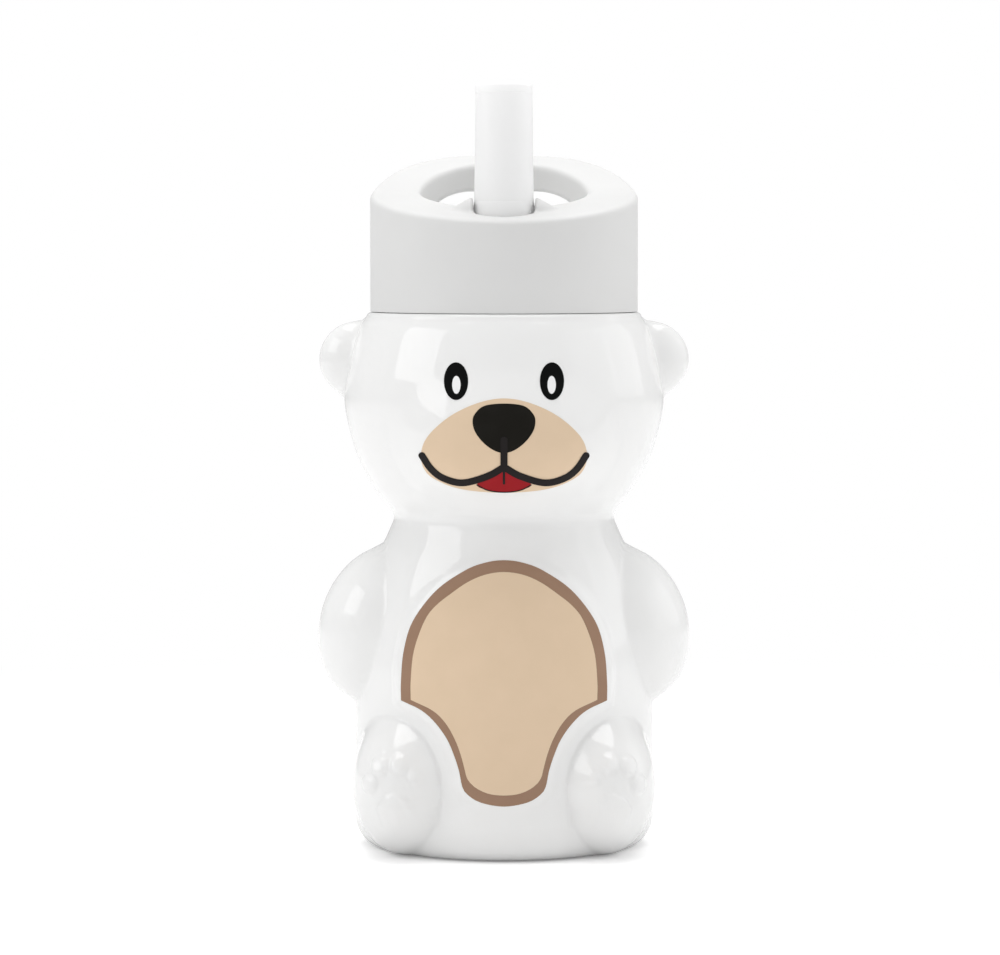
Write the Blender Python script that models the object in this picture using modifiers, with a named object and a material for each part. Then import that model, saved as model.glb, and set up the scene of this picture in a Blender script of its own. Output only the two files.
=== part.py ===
"""Bear-shaped drinking bottle: blow-moulded body, screw cap with a carrying loop, and a flip-up spout.

Metres, +Z up. The origin is the middle of the base, the bottle's axis is Z, and the face looks along -Y.
"""

import math

import bmesh
import bpy
import numpy as np
from mathutils import Vector
from mathutils.bvhtree import BVHTree

# Body shell
BASE_RADIUS = 0.0283
BASE_CORNER_WIDTH = 0.0053
BASE_CORNER_HEIGHT = 0.0078
BASE_TOP_HEIGHT = 0.0118
TORSO_RADIUS = 0.0334
TORSO_HEIGHT = 0.0739
WAIST_RADIUS = 0.0247
HEAD_HEIGHT = 0.045
HEAD_RADIUS = 0.0356
SHOULDER_RADIUS = 0.0302
SHOULDER_CORNER = 0.0012
WALL = 0.0015
LIMB_WALL = 0.0022
LOBE_BLEND = 0.0024

# Shape of the body's outline between those sizes: share of the height, share of the change in radius
TORSO_TAPER = ((0.43, 1.0), (0.61, 0.93), (0.77, 0.67), (0.88, 0.38), (0.95, 0.11), (1.0, 0.0))
HEAD_RISE = ((0.1, 0.31), (0.226, 0.62), (0.356, 0.83), (0.56, 1.0))
HEAD_FALL = ((0.74, 0.2), (0.92, 0.66), (0.974, 1.0))

# Swellings of the body, each an ellipsoid
EAR_RADIUS = 0.0086
EAR_DEPTH = 0.006
EAR_REACH = 0.0412
EAR_DROP = 0.0106
ARM_HALF_LENGTH = 0.018
ARM_HALF_WIDTH = 0.013
ARM_HALF_DEPTH = 0.0158
ARM_REACH = 0.0418
ARM_FORWARD = 0.0015
ARM_DROP = 0.0244
ARM_LEAN = math.radians(18)
FOOT_HALF_WIDTH = 0.0116
FOOT_HALF_HEIGHT = 0.0155
FOOT_HALF_LENGTH = 0.016
FOOT_SPREAD = 0.0218
FOOT_HEIGHT = 0.0155
FOOT_FRONT = 0.0343
MUZZLE_HALF_WIDTH = 0.0232
MUZZLE_HALF_HEIGHT = 0.0175
MUZZLE_HALF_DEPTH = 0.0185
MUZZLE_FRONT = 0.0387
MUZZLE_DROP = 0.0261

# Raised belly pad and raised paw prints
PAD_HEIGHT = 0.0009
PAD_MARGIN = 0.0026
PAD_EDGE = 0.0024
PAW_RELIEF = 0.0006
PAW_OUTSET = 0.0016
PAW_DROP = 0.0037
PAW_PAD_WIDTH = 0.0041
PAW_PAD_HEIGHT = 0.0032
TOE_WIDTH = 0.0015
TOE_HEIGHT = 0.0019
TOE_DISTANCE = 0.0087
TOE_ANGLES = (132, 110, 89, 68)

# Threaded neck of the body
NECK_RADIUS = 0.026
NECK_WALL = 0.0018
NECK_HEIGHT = 0.0113
NECK_CHAMFER = 0.0004
THREAD_PITCH = 0.004
THREAD_TURNS = 1.25
THREAD_BEAD = 0.0009
THREAD_RISE = 0.0002
THREAD_START = 0.004
THREAD_RUN_OUT = 3

# Cap
CAP_RADIUS = 0.0298
CAP_WALL = 0.002
CAP_SHOULDER_GAP = 0.0003
CAP_FILLET = 0.002
TOP_FRONT_HEIGHT = 0.0201
TOP_MIDDLE_RISE = 0.0062
TOP_REAR_RISE = 0.0154
TOP_BEND = 0.6
RECESS_RADIUS = 0.0185
RECESS_OFFSET = 0.003
RECESS_FILLET = 0.0018
RECESS_FLOOR_THICKNESS = 0.0032
RECESS_FLOOR_FILLET = 0.001
WELL_FLOOR_THICKNESS = 0.0012
SKIRT_CHAMFER = 0.0004
WINDOW_HALF_WIDTH = 0.0172
WINDOW_HEIGHT = 0.0106
WINDOW_CORNER = 0.0072
WINDOW_SILL_CORNER = 0.001
KNUCKLE_LENGTH = 0.0046
KNUCKLE_DEPTH = 0.0046
KNUCKLE_HEIGHT = 0.0032

# Seals
GASKET_THICKNESS = 0.0016
GASKET_WIDTH = 0.0033
SEAT_RADIUS = 0.004
SEAT_HOLLOW_RADIUS = 0.003
SEAT_BORE = 0.0024
SEAT_DEPTH = 0.0024

# Spout and straw
PIVOT_FORWARD = 0.0175
BALL_RADIUS = 0.0066
NOZZLE_TIP_RADIUS = 0.00625
NOZZLE_LENGTH = 0.0286
LIP_HEIGHT = 0.002
LIP_STEP = 0.0001
TIP_ROUNDING = 0.0009
SPOUT_BORE = 0.0033
SPOUT_TIP_BORE = 0.0037
SPOUT_BORE_STEP = 0.0149
BALL_BORE_DEPTH = 0.0045
PIN_RADIUS = 0.0018
PIN_LENGTH = 0.0022
FOLD_ANGLE = math.radians(76)
STRAW_RADIUS = 0.0035
STRAW_WALL = 0.001
STRAW_FLOOR_GAP = 0.0035
SOCKET_DEPTH = 0.0075
SOCKET_WALL = 0.0022
SOCKET_LEDGE_THICKNESS = 0.0013

# Vent valve in the recess floor
VENT_X = 0.0125
VENT_Y = 0.001
VENT_STEM_RADIUS = 0.001
VENT_FLANGE_RADIUS = 0.0032
VENT_FLANGE_THICKNESS = 0.0008
VENT_BULB_RADIUS = 0.0018
VENT_DOME_START = 0.0004
VENT_DOME_HEIGHT = 0.001

# Clearances
SEAT_GAP = 0.0003
BALL_GAP = 0.0004
SLOT_END_GAP = 0.001
PRINT_GAP = 0.0003
PRINT_THICKNESS = 0.0002

# Printed artwork, seen from the front as (X, Z). Half outlines run from the top to the bottom at X = 0.
# The face is measured from a level below the shoulder, and the belly from the base.
FACE_DROP = 0.0278
EYE_X = 0.0103
EYE_RISE = 0.0135
EYE_HALF_WIDTH = 0.0026
EYE_HALF_HEIGHT = 0.004
GLINT_X = 0.0102
GLINT_RISE = 0.0127
GLINT_HALF_WIDTH = 0.0009
GLINT_HALF_HEIGHT = 0.0019
MOUTH_WIDTH = 0.0015
MUZZLE_OUTLINE = (
    (0.0, 0.0099), (0.0059, 0.0088), (0.0119, 0.0058), (0.0166, 0.0013), (0.0179, -0.003),
    (0.0166, -0.0065), (0.0134, -0.0085), (0.0097, -0.0097), (0.005, -0.0103), (0.0, -0.0105),
)
NOSE_OUTLINE = (
    (0.0, 0.0088), (0.0042, 0.0083), (0.0062, 0.0066), (0.0067, 0.005), (0.0062, 0.0029), (0.0045, 0.0006),
    (0.0022, -0.0011), (0.0, -0.0017),
)
TONGUE_OUTLINE = ((0.0, -0.0051), (0.003, -0.0062), (0.0058, -0.0087), (0.0034, -0.0099), (0.0, -0.0103))
SMILE_POINTS = (
    (0.0, -0.0047), (0.0034, -0.0067), (0.0088, -0.0083), (0.013, -0.0074), (0.0156, -0.0055), (0.0176, -0.0026),
)
LIP_LINE_TOP = 0.0013
BELLY_UPPER = (
    (0.0, 0.0656), (0.0043, 0.065), (0.0087, 0.0632), (0.0148, 0.0588), (0.0198, 0.0521), (0.0218, 0.0456),
    (0.0224, 0.0391), (0.0224, 0.0348),
)
BELLY_LOWER = (
    (0.0224, 0.0348), (0.0179, 0.033), (0.0148, 0.0304), (0.0123, 0.027), (0.0108, 0.0236), (0.0097, 0.0202),
    (0.009, 0.0168), (0.0078, 0.0151), (0.005, 0.0135), (0.0, 0.0127),
)
PATCH_UPPER = (
    (0.0, 0.0631), (0.0041, 0.0625), (0.0078, 0.0609), (0.0114, 0.0584), (0.0148, 0.0556), (0.0172, 0.0523),
    (0.0195, 0.0458), (0.0202, 0.0393), (0.0202, 0.0351),
)
PATCH_LOWER = (
    (0.0202, 0.0351), (0.0154, 0.0331), (0.0126, 0.0305), (0.0106, 0.0271), (0.0093, 0.0237), (0.0084, 0.0203),
    (0.0079, 0.0186), (0.0064, 0.0169), (0.0035, 0.0155), (0.0, 0.0151),
)

# Fineness of the meshes
BODY_STEPS = 64
BODY_ROW = 0.0034
CAVITY_STEPS = 44
CAVITY_ROW = 0.0045
FACE_GATHER = 0.28
SIDE_GATHER = 0.17
CAP_STEPS = 52
ROUND_STEPS = 32
THREAD_STEPS = 22
PRINT_GRID = 0.005
BELLY_SPACING = 0.0035
PATCH_SPACING = 0.003
FEATURE_SPACING = 0.0016
SMILE_SPACING = 0.0022
WELD_DISTANCE = 0.000002
SPIN_WELD_DISTANCE = 0.00001
CUT_TOLERANCE = 0.00002
OVERCUT = 0.002
LEVEL_STEP = 0.0001

# Heights that follow from the sizes
SHOULDER_TOP = TORSO_HEIGHT + HEAD_HEIGHT
NECK_TOP = SHOULDER_TOP + NECK_HEIGHT
CAP_BOTTOM = SHOULDER_TOP + CAP_SHOULDER_GAP
GASKET_BOTTOM = NECK_TOP + SEAT_GAP
CEILING = GASKET_BOTTOM + GASKET_THICKNESS + SEAT_GAP
RECESS_FLOOR = CEILING + RECESS_FLOOR_THICKNESS
PIVOT_HEIGHT = CEILING + WELL_FLOOR_THICKNESS + BALL_RADIUS + BALL_GAP
HEAD_CENTRE = TORSO_HEIGHT + HEAD_HEIGHT / 2
FACE_HEIGHT = SHOULDER_TOP - FACE_DROP
PIVOT = Vector((0.0, -PIVOT_FORWARD, PIVOT_HEIGHT))
WELL_RADIUS = BALL_RADIUS + BALL_GAP
SEAT_FLOOR = PIVOT_HEIGHT - BALL_RADIUS - SEAT_DEPTH - 2 * SEAT_GAP
SOCKET_TOP = SEAT_FLOOR - SOCKET_LEDGE_THICKNESS
SOCKET_BOTTOM = SOCKET_TOP - SOCKET_DEPTH


def new_collection(name):
    group = bpy.data.collections.new(name)
    bpy.context.scene.collection.children.link(group)
    return group


def new_material(name, colour, roughness, metallic=0.0):
    made = bpy.data.materials.new(name)
    made.use_nodes = True
    shader = made.node_tree.nodes["Principled BSDF"]
    shader.inputs["Base Color"].default_value = (*colour, 1.0)
    shader.inputs["Roughness"].default_value = roughness
    shader.inputs["Metallic"].default_value = metallic
    made.diffuse_color = (*colour, 1.0)
    return made


def place(name, mesh, group, surface=None):
    made = bpy.data.objects.new(name, mesh)
    group.objects.link(made)
    if surface:
        mesh.materials.clear()
        mesh.materials.append(surface)
        mesh.shade_smooth()
        mesh.set_sharp_from_angle(angle=math.radians(35))
    else:
        made.hide_render = True
        made.display_type = "WIRE"
    return made


def evaluated_mesh(made):
    """The object's mesh with its modifiers, in world space, as a mesh of its own."""
    bpy.context.view_layer.update()
    graph = bpy.context.evaluated_depsgraph_get()
    mesh = bpy.data.meshes.new_from_object(made.evaluated_get(graph))
    mesh.transform(made.matrix_world)
    return mesh


def take_mesh(made):
    """Removes the object and leaves its evaluated mesh, welded."""
    mesh = evaluated_mesh(made)
    bpy.data.objects.remove(made)
    work = bmesh.new()
    work.from_mesh(mesh)
    bmesh.ops.remove_doubles(work, verts=work.verts, dist=WELD_DISTANCE)
    bmesh.ops.recalc_face_normals(work, faces=work.faces)
    work.to_mesh(mesh)
    work.free()
    return mesh


def turned_mesh(profile, steps):
    """A solid of revolution. The profile's (radius, height) points run down its outer side."""
    mesh = bpy.data.meshes.new("profile")
    edges = [(i, i + 1) for i in range(len(profile) - 1)]
    mesh.from_pydata([(r, 0.0, z) for r, z in profile], edges, [])
    made = bpy.data.objects.new("profile", mesh)
    bpy.context.scene.collection.objects.link(made)
    screw = made.modifiers.new("Screw", "SCREW")
    screw.steps = steps
    screw.render_steps = steps
    screw.use_merge_vertices = True
    screw.merge_threshold = SPIN_WELD_DISTANCE
    return take_mesh(made)


def outline_mesh(outlines, half_depth):
    """Flat outlines filled and given thickness along Y. An outline inside another is a hole."""
    curve = bpy.data.curves.new("outline", "CURVE")
    curve.dimensions = "2D"
    curve.fill_mode = "BOTH"
    curve.extrude = half_depth
    for points in outlines:
        spline = curve.splines.new("POLY")
        spline.points.add(len(points) - 1)
        spline.use_cyclic_u = True
        for point, (x, z) in zip(spline.points, points):
            point.co = (x, z, 0.0, 1.0)
    made = bpy.data.objects.new("outline", curve)
    bpy.context.scene.collection.objects.link(made)
    made.rotation_euler = (math.radians(90), 0.0, 0.0)
    return take_mesh(made)


def cylinder_mesh(radius, start, end, steps=ROUND_STEPS):
    """A cylinder between two points."""
    axis = Vector(end) - Vector(start)
    mesh = bpy.data.meshes.new("cylinder")
    work = bmesh.new()
    bmesh.ops.create_cone(
        work, cap_ends=True, segments=steps, radius1=radius, radius2=radius, depth=axis.length
    )
    work.to_mesh(mesh)
    work.free()
    mesh.transform(axis.to_track_quat("Z", "Y").to_matrix().to_4x4())
    for vertex in mesh.vertices:
        vertex.co += (Vector(start) + Vector(end)) / 2
    return mesh


def ellipsoid_mesh(centre, radii, columns=ROUND_STEPS, rows=ROUND_STEPS // 2):
    mesh = bpy.data.meshes.new("ellipsoid")
    work = bmesh.new()
    bmesh.ops.create_uvsphere(work, u_segments=columns, v_segments=rows, radius=1.0)
    bmesh.ops.scale(work, verts=work.verts, vec=radii)
    bmesh.ops.translate(work, verts=work.verts, vec=centre)
    work.to_mesh(mesh)
    work.free()
    return mesh


def combine(target, mesh, operation, group):
    """A Boolean with a hidden cutter, kept as a modifier."""
    cutter = place(f"{target.name}_{operation.lower()}_{len(target.modifiers)}", mesh, group)
    boolean = target.modifiers.new(cutter.name, "BOOLEAN")
    boolean.operation = operation
    boolean.object = cutter


def knot_beyond(end, inner, level):
    """The knot past a curve's end. A curve with a level end on the axis goes on as its own mirror image."""
    if level and end[0] == 0:
        return inner * (-1, 1)
    return 2 * end - inner


def curve_through(points, spacing, level=False):
    """Points along a smooth curve through the given ones, about the spacing apart."""
    knots = [np.array(p, float) for p in points]
    first = knot_beyond(knots[0], knots[1], level)
    last = knot_beyond(knots[-1], knots[-2], level)
    knots = [first] + knots + [last]
    found = [knots[1]]
    for before, start, end, after in zip(knots, knots[1:], knots[2:], knots[3:]):
        count = max(1, round(float(np.linalg.norm(end - start)) / spacing))
        for t in np.arange(1, count + 1) / count:
            bend = 2 * before - 5 * start + 4 * end - after
            twist = 3 * start - before - 3 * end + after
            found.append((2 * start + (end - before) * t + bend * t**2 + twist * t**3) / 2)
    return [tuple(float(v) for v in p) for p in found]


def arc(centre, radii, from_angle, to_angle, steps):
    """Points on an arc from one angle to another, in degrees."""
    angles = np.radians(np.linspace(from_angle, to_angle, steps + 1))
    return [(centre[0] + radii[0] * math.cos(a), centre[1] + radii[1] * math.sin(a)) for a in angles]


def mirrored(half):
    """A closed outline from a half outline that runs from top to bottom at X = 0."""
    return list(half) + [(-x, z) for x, z in reversed(half[1:-1])]


def grown(outline, distance):
    """A closed clockwise outline moved out by the distance, or in where it is negative."""
    points = np.array(outline)
    along = np.roll(points, -1, axis=0) - np.roll(points, 1, axis=0)
    along /= np.linalg.norm(along, axis=1)[:, None]
    outward = np.stack([-along[:, 1], along[:, 0]], axis=1)
    return [tuple(float(v) for v in p) for p in points + outward * distance]


def oval(x, z, half_width, half_height, steps=16):
    return arc((x, z), (half_width, half_height), 0, -360, steps)[:-1]


def belly_outline(upper=BELLY_UPPER, lower=BELLY_LOWER):
    """A closed outline from its upper and its lower half curve, which meet in a corner."""
    above = curve_through(upper, BELLY_SPACING, level=True)
    below = curve_through(lower, BELLY_SPACING, level=True)
    return mirrored(above[:-1] + below)


def head_lobes(inset):
    """Centre, radii and lean of the muzzle and the ears. The inset makes them smaller all round."""
    muzzle = (0.0, MUZZLE_HALF_DEPTH - MUZZLE_FRONT, SHOULDER_TOP - MUZZLE_DROP)
    found = [(muzzle, np.array((MUZZLE_HALF_WIDTH, MUZZLE_HALF_DEPTH, MUZZLE_HALF_HEIGHT)) - inset, 0.0)]
    for side in (-1, 1):
        ear = (side * (EAR_REACH - EAR_RADIUS), 0.0, SHOULDER_TOP - EAR_DROP)
        found.append((ear, np.array((EAR_RADIUS, EAR_DEPTH, EAR_RADIUS)) - inset, 0.0))
    return found


def torso_lobes(inset):
    """Centre, radii and lean of the arms and the feet. The inset makes them smaller all round."""
    arm_extent = math.hypot(ARM_HALF_WIDTH * math.cos(ARM_LEAN), ARM_HALF_LENGTH * math.sin(ARM_LEAN))
    found = []
    for side in (-1, 1):
        arm = (side * (ARM_REACH - arm_extent), -ARM_FORWARD, TORSO_HEIGHT - ARM_DROP)
        foot = (side * FOOT_SPREAD, FOOT_HALF_LENGTH - FOOT_FRONT, FOOT_HEIGHT)
        arm_radii = np.array((ARM_HALF_WIDTH, ARM_HALF_DEPTH, ARM_HALF_LENGTH)) - inset
        foot_radii = np.array((FOOT_HALF_WIDTH, FOOT_HALF_LENGTH, FOOT_HALF_HEIGHT)) - inset
        found.append((arm, arm_radii, -side * ARM_LEAN))
        found.append((foot, foot_radii, 0.0))
    return found


def body_profile(inset, row):
    """The body's turned outline from the shoulder down to the base, as (radius, height)."""
    taper = TORSO_RADIUS - WAIST_RADIUS
    swell = HEAD_RADIUS - WAIST_RADIUS
    fall = HEAD_RADIUS - SHOULDER_RADIUS
    points = [(TORSO_RADIUS, BASE_TOP_HEIGHT)]
    points += [(WAIST_RADIUS + taper * r, TORSO_HEIGHT * z) for z, r in TORSO_TAPER]
    points += [(WAIST_RADIUS + swell * r, TORSO_HEIGHT + HEAD_HEIGHT * z) for z, r in HEAD_RISE]
    points += [(HEAD_RADIUS - fall * r, TORSO_HEIGHT + HEAD_HEIGHT * z) for z, r in HEAD_FALL]
    side = curve_through(points, row)[::-1]
    base_centre = (BASE_RADIUS, BASE_CORNER_HEIGHT)
    base = arc(base_centre, (BASE_CORNER_WIDTH, BASE_CORNER_HEIGHT), 0, -90, 5)
    line = np.array(side + base)
    along = np.gradient(line, axis=0)
    along /= np.linalg.norm(along, axis=1)[:, None]
    inward = np.stack([along[:, 1], -along[:, 0]], axis=1)
    corner = max(SHOULDER_CORNER - inset, SHOULDER_CORNER / 4)
    top = SHOULDER_TOP - inset - corner
    shoulder = arc((SHOULDER_RADIUS - inset - corner, top), (corner, corner), 90, 30, 2)
    return shoulder + [(float(r), float(z)) for r, z in line + inward * inset if z < top]


def gathered(points):
    """Turns the columns of points round the axis so that they lie closest at the sides and the front."""
    angle = np.arctan2(points[:, 0], -points[:, 1])
    radius = np.hypot(points[:, 0], points[:, 1])
    angle = angle - FACE_GATHER * np.sin(angle) + SIDE_GATHER * np.sin(2 * angle)
    return np.stack([radius * np.sin(angle), -radius * np.cos(angle), points[:, 2]], axis=1)


def swollen(points, origins, lobes):
    """Moves points of the turned body out to its lobes, along rays from their origins on the axis."""
    origins = np.broadcast_to(origins, points.shape)
    rays = points - origins
    reach = np.linalg.norm(rays, axis=1)
    rays = rays / reach[:, None]
    for centre, radii, lean in lobes:
        turn = np.array(
            [[math.cos(lean), 0, -math.sin(lean)], [0, 1, 0], [math.sin(lean), 0, math.cos(lean)]]
        )
        start = ((origins - centre) @ turn.T) / radii
        step = (rays @ turn.T) / radii
        a = (step * step).sum(axis=1)
        b = (start * step).sum(axis=1)
        inside = b * b - a * ((start * start).sum(axis=1) - 1)
        far = (-b + np.sign(inside) * np.sqrt(np.abs(inside))) / a
        overlap = np.clip(1 - np.abs(reach - far) / LOBE_BLEND, 0, None)
        reach = np.maximum(reach, far) + LOBE_BLEND * overlap**2 / 4
    return origins + rays * reach[:, None]


def depth_inside(points, outline):
    """How far inside the outline each (X, Z) point is, negative outside it."""
    start = np.array(outline)
    edge = np.roll(start, -1, axis=0) - start
    away = points[:, None, :] - start[None]
    share = np.clip((away * edge).sum(axis=2) / (edge * edge).sum(axis=1), 0, 1)
    nearest = np.linalg.norm(away - share[..., None] * edge, axis=2).min(axis=1)
    end = np.roll(start, -1, axis=0)
    crosses = (start[None, :, 1] > points[:, 1:2]) != (end[None, :, 1] > points[:, 1:2])
    rise = np.where(edge[:, 1] == 0, 1, edge[:, 1])
    at = start[None, :, 0] + (points[:, 1:2] - start[None, :, 1]) * edge[:, 0] / rise
    inside = (crosses & (points[:, 0:1] < at)).sum(axis=1) % 2 == 1
    return np.where(inside, nearest, -nearest)


def padded(points):
    """Raises the belly pad on the front of the body."""
    inside = depth_inside(points[:, [0, 2]], grown(belly_outline(), PAD_MARGIN))
    share = np.clip(inside / PAD_EDGE, 0, 1)
    lift = PAD_HEIGHT * share * share * (3 - 2 * share) * (points[:, 1] < 0)
    out = points * (1, 1, 0)
    return points + out / np.linalg.norm(out, axis=1)[:, None] * lift[:, None]


def shaped_body(profile, inset, steps, with_pad):
    """A turned solid with the body's swellings. Only its side between base and shoulder is moved."""
    mesh = turned_mesh(profile, steps)
    points = gathered(np.array([v.co for v in mesh.vertices]))
    height = points[:, 2]
    torso = (height > inset + LEVEL_STEP) & (height < TORSO_HEIGHT)
    head = (height >= TORSO_HEIGHT) & (height < SHOULDER_TOP - inset - LEVEL_STEP)
    limb_inset = LIMB_WALL if inset else 0.0
    points[torso] = swollen(points[torso], points[torso] * (0, 0, 1), torso_lobes(limb_inset))
    points[head] = swollen(points[head], np.array((0, 0, HEAD_CENTRE)), head_lobes(limb_inset))
    if with_pad:
        points[torso] = padded(points[torso])
    mesh.vertices.foreach_set("co", points.ravel())
    mesh.update()
    return mesh


def helix_bead(radius, bottom, sink):
    """A round bead that winds up round the axis, right-handed. Its ends sink into the wall, out or in."""
    curve = bpy.data.curves.new("bead", "CURVE")
    curve.dimensions = "3D"
    curve.bevel_depth = THREAD_BEAD
    curve.bevel_resolution = 1
    curve.use_fill_caps = True
    count = round(THREAD_TURNS * THREAD_STEPS)
    spline = curve.splines.new("POLY")
    spline.points.add(count)
    for i, point in enumerate(spline.points):
        turn = THREAD_TURNS * i / count
        angle = math.tau * turn
        height = bottom + THREAD_PITCH * turn
        reach = radius + sink * max(0.0, 1 - min(i, count - i) / THREAD_RUN_OUT)
        point.co = (reach * math.cos(angle), reach * math.sin(angle), height, 1.0)
    made = bpy.data.objects.new("bead", curve)
    bpy.context.scene.collection.objects.link(made)
    return take_mesh(made)


def front_hit(tree, x, z):
    """The Y of the body's front skin at this X and Z."""
    hit = tree.ray_cast(Vector((x, -0.2, z)), Vector((0, 1, 0)))[0]
    return hit.y


def paw_spots():
    """Centre and half sizes of each raised spot on the soles, seen from the front."""
    pad_x, pad_z = FOOT_SPREAD + PAW_OUTSET, FOOT_HEIGHT - PAW_DROP
    spots = [(pad_x, pad_z, PAW_PAD_WIDTH, PAW_PAD_HEIGHT)]
    for angle in np.radians(TOE_ANGLES):
        x = pad_x - TOE_DISTANCE * math.cos(angle)
        spots.append((x, pad_z + TOE_DISTANCE * math.sin(angle), TOE_WIDTH, TOE_HEIGHT))
    return [(side * x, z, w, h) for side in (-1, 1) for x, z, w, h in spots]


def build_bottle(parts, cutters):
    """The body: a closed skin, hollowed through its threaded neck. Returns a tree of the skin's faces."""
    neck = [(0.0, NECK_TOP), (NECK_RADIUS - NECK_CHAMFER, NECK_TOP), (NECK_RADIUS, NECK_TOP - NECK_CHAMFER)]
    neck += [(NECK_RADIUS, SHOULDER_TOP)]
    outer = neck + body_profile(0, BODY_ROW) + [(0.0, 0.0)]
    mesh = shaped_body(outer, 0, BODY_STEPS, True)
    plastic = new_material("white_gloss_plastic", (0.87, 0.87, 0.86), 0.22)
    bottle = place("bottle", mesh, parts, plastic)

    tree = BVHTree.FromPolygons([v.co for v in mesh.vertices], [p.vertices for p in mesh.polygons])
    for x, z, half_width, half_height in paw_spots():
        centre = (x, front_hit(tree, x, z) + PAW_RELIEF, z)
        spot = ellipsoid_mesh(centre, (half_width, 2 * PAW_RELIEF, half_height), 10, 6)
        combine(bottle, spot, "UNION", cutters)

    bead = helix_bead(NECK_RADIUS + THREAD_RISE, SHOULDER_TOP + THREAD_START, -THREAD_BEAD)
    combine(bottle, bead, "UNION", cutters)

    bore = NECK_RADIUS - NECK_WALL
    inner = body_profile(WALL, CAVITY_ROW)
    inner = [(0.0, NECK_TOP + OVERCUT), (bore, NECK_TOP + OVERCUT), (bore, SHOULDER_TOP - WALL)] + inner
    cavity = shaped_body(inner + [(0.0, WALL)], WALL, CAVITY_STEPS, False)
    combine(bottle, cavity, "DIFFERENCE", cutters)
    return tree


def cap_top(y):
    """Height of the cap's top at this Y: a gentle slope that steepens and then flattens at the rear."""
    share = y / CAP_RADIUS
    middle = CAP_BOTTOM + TOP_FRONT_HEIGHT + TOP_MIDDLE_RISE
    if share < 0:
        return middle + TOP_MIDDLE_RISE * share
    eased = share * share * (3 - 2 * share)
    return middle + (TOP_REAR_RISE - TOP_MIDDLE_RISE) * ((1 - TOP_BEND) * share + TOP_BEND * eased)


def cap_profile(level):
    """The cap as if its top were flat at this level, with a round recess in it, and hollow below."""
    inner = CAP_RADIUS - CAP_WALL
    floor = [(0.0, RECESS_FLOOR), (RECESS_RADIUS / 2, RECESS_FLOOR)]
    low = RECESS_FLOOR_FILLET
    floor_fillet = arc((RECESS_RADIUS - low, RECESS_FLOOR + low), (low, low), -90, 0, 2)
    rim = arc((RECESS_RADIUS + RECESS_FILLET, level - RECESS_FILLET), (RECESS_FILLET,) * 2, 180, 90, 3)
    edge = arc((CAP_RADIUS - CAP_FILLET, level - CAP_FILLET), (CAP_FILLET,) * 2, 90, 0, 4)
    middle = (RECESS_RADIUS + RECESS_FILLET + CAP_RADIUS - CAP_FILLET) / 2
    skirt = [(CAP_RADIUS, CAP_BOTTOM + SKIRT_CHAMFER), (CAP_RADIUS - SKIRT_CHAMFER, CAP_BOTTOM)]
    skirt += [(inner, CAP_BOTTOM)]
    return floor + floor_fillet + rim + [(middle, level)] + edge + skirt + [(inner, CEILING), (0.0, CEILING)]


def cap_blank():
    """The turned cap with its top tilted to the real slope and its recess moved back."""
    level = CAP_BOTTOM + TOP_FRONT_HEIGHT + TOP_MIDDLE_RISE
    mesh = turned_mesh(cap_profile(level), CAP_STEPS)
    rim_radius = RECESS_RADIUS + RECESS_FILLET
    for vertex in mesh.vertices:
        radius = math.hypot(vertex.co.x, vertex.co.y)
        if vertex.co.z > RECESS_FLOOR - LEVEL_STEP:
            shift = 1.0 if radius < rim_radius else (CAP_RADIUS - radius) / (CAP_RADIUS - rim_radius)
            vertex.co.y += RECESS_OFFSET * max(0.0, shift)
        if vertex.co.z > level - max(RECESS_FILLET, CAP_FILLET) - LEVEL_STEP:
            vertex.co.z += cap_top(vertex.co.y) - level
    return mesh


def window_outline():
    """The finger window, seen from the front."""
    half = WINDOW_HALF_WIDTH
    top = RECESS_FLOOR + WINDOW_HEIGHT
    sill = RECESS_FLOOR + LEVEL_STEP
    upper, lower = WINDOW_CORNER, WINDOW_SILL_CORNER
    half_outline = [(0.0, top)] + arc((half - upper, top - upper), (upper, upper), 90, 0, 6)
    half_outline += arc((half - lower, sill + lower), (lower, lower), 0, -90, 2) + [(0.0, sill)]
    return mirrored(half_outline)


def spout_slot():
    """Room for the nozzle between standing up and folded back: a thick plate across the pivot."""
    pivot = (-PIVOT_FORWARD, PIVOT_HEIGHT)
    reach = NOZZLE_LENGTH + SLOT_END_GAP
    outline = [pivot] + arc(pivot, (reach, reach), 90, 90 - math.degrees(FOLD_ANGLE), 8)
    mesh = outline_mesh([outline], WELL_RADIUS - LEVEL_STEP)
    for vertex in mesh.vertices:
        vertex.co = (vertex.co.y, vertex.co.x, vertex.co.z)
    mesh.flip_normals()
    return mesh


def spout_cylinder(radius, bottom, top, steps=24):
    """An upright cylinder below the spout's pivot."""
    return cylinder_mesh(radius, (0, -PIVOT_FORWARD, bottom), (0, -PIVOT_FORWARD, top), steps)


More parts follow.
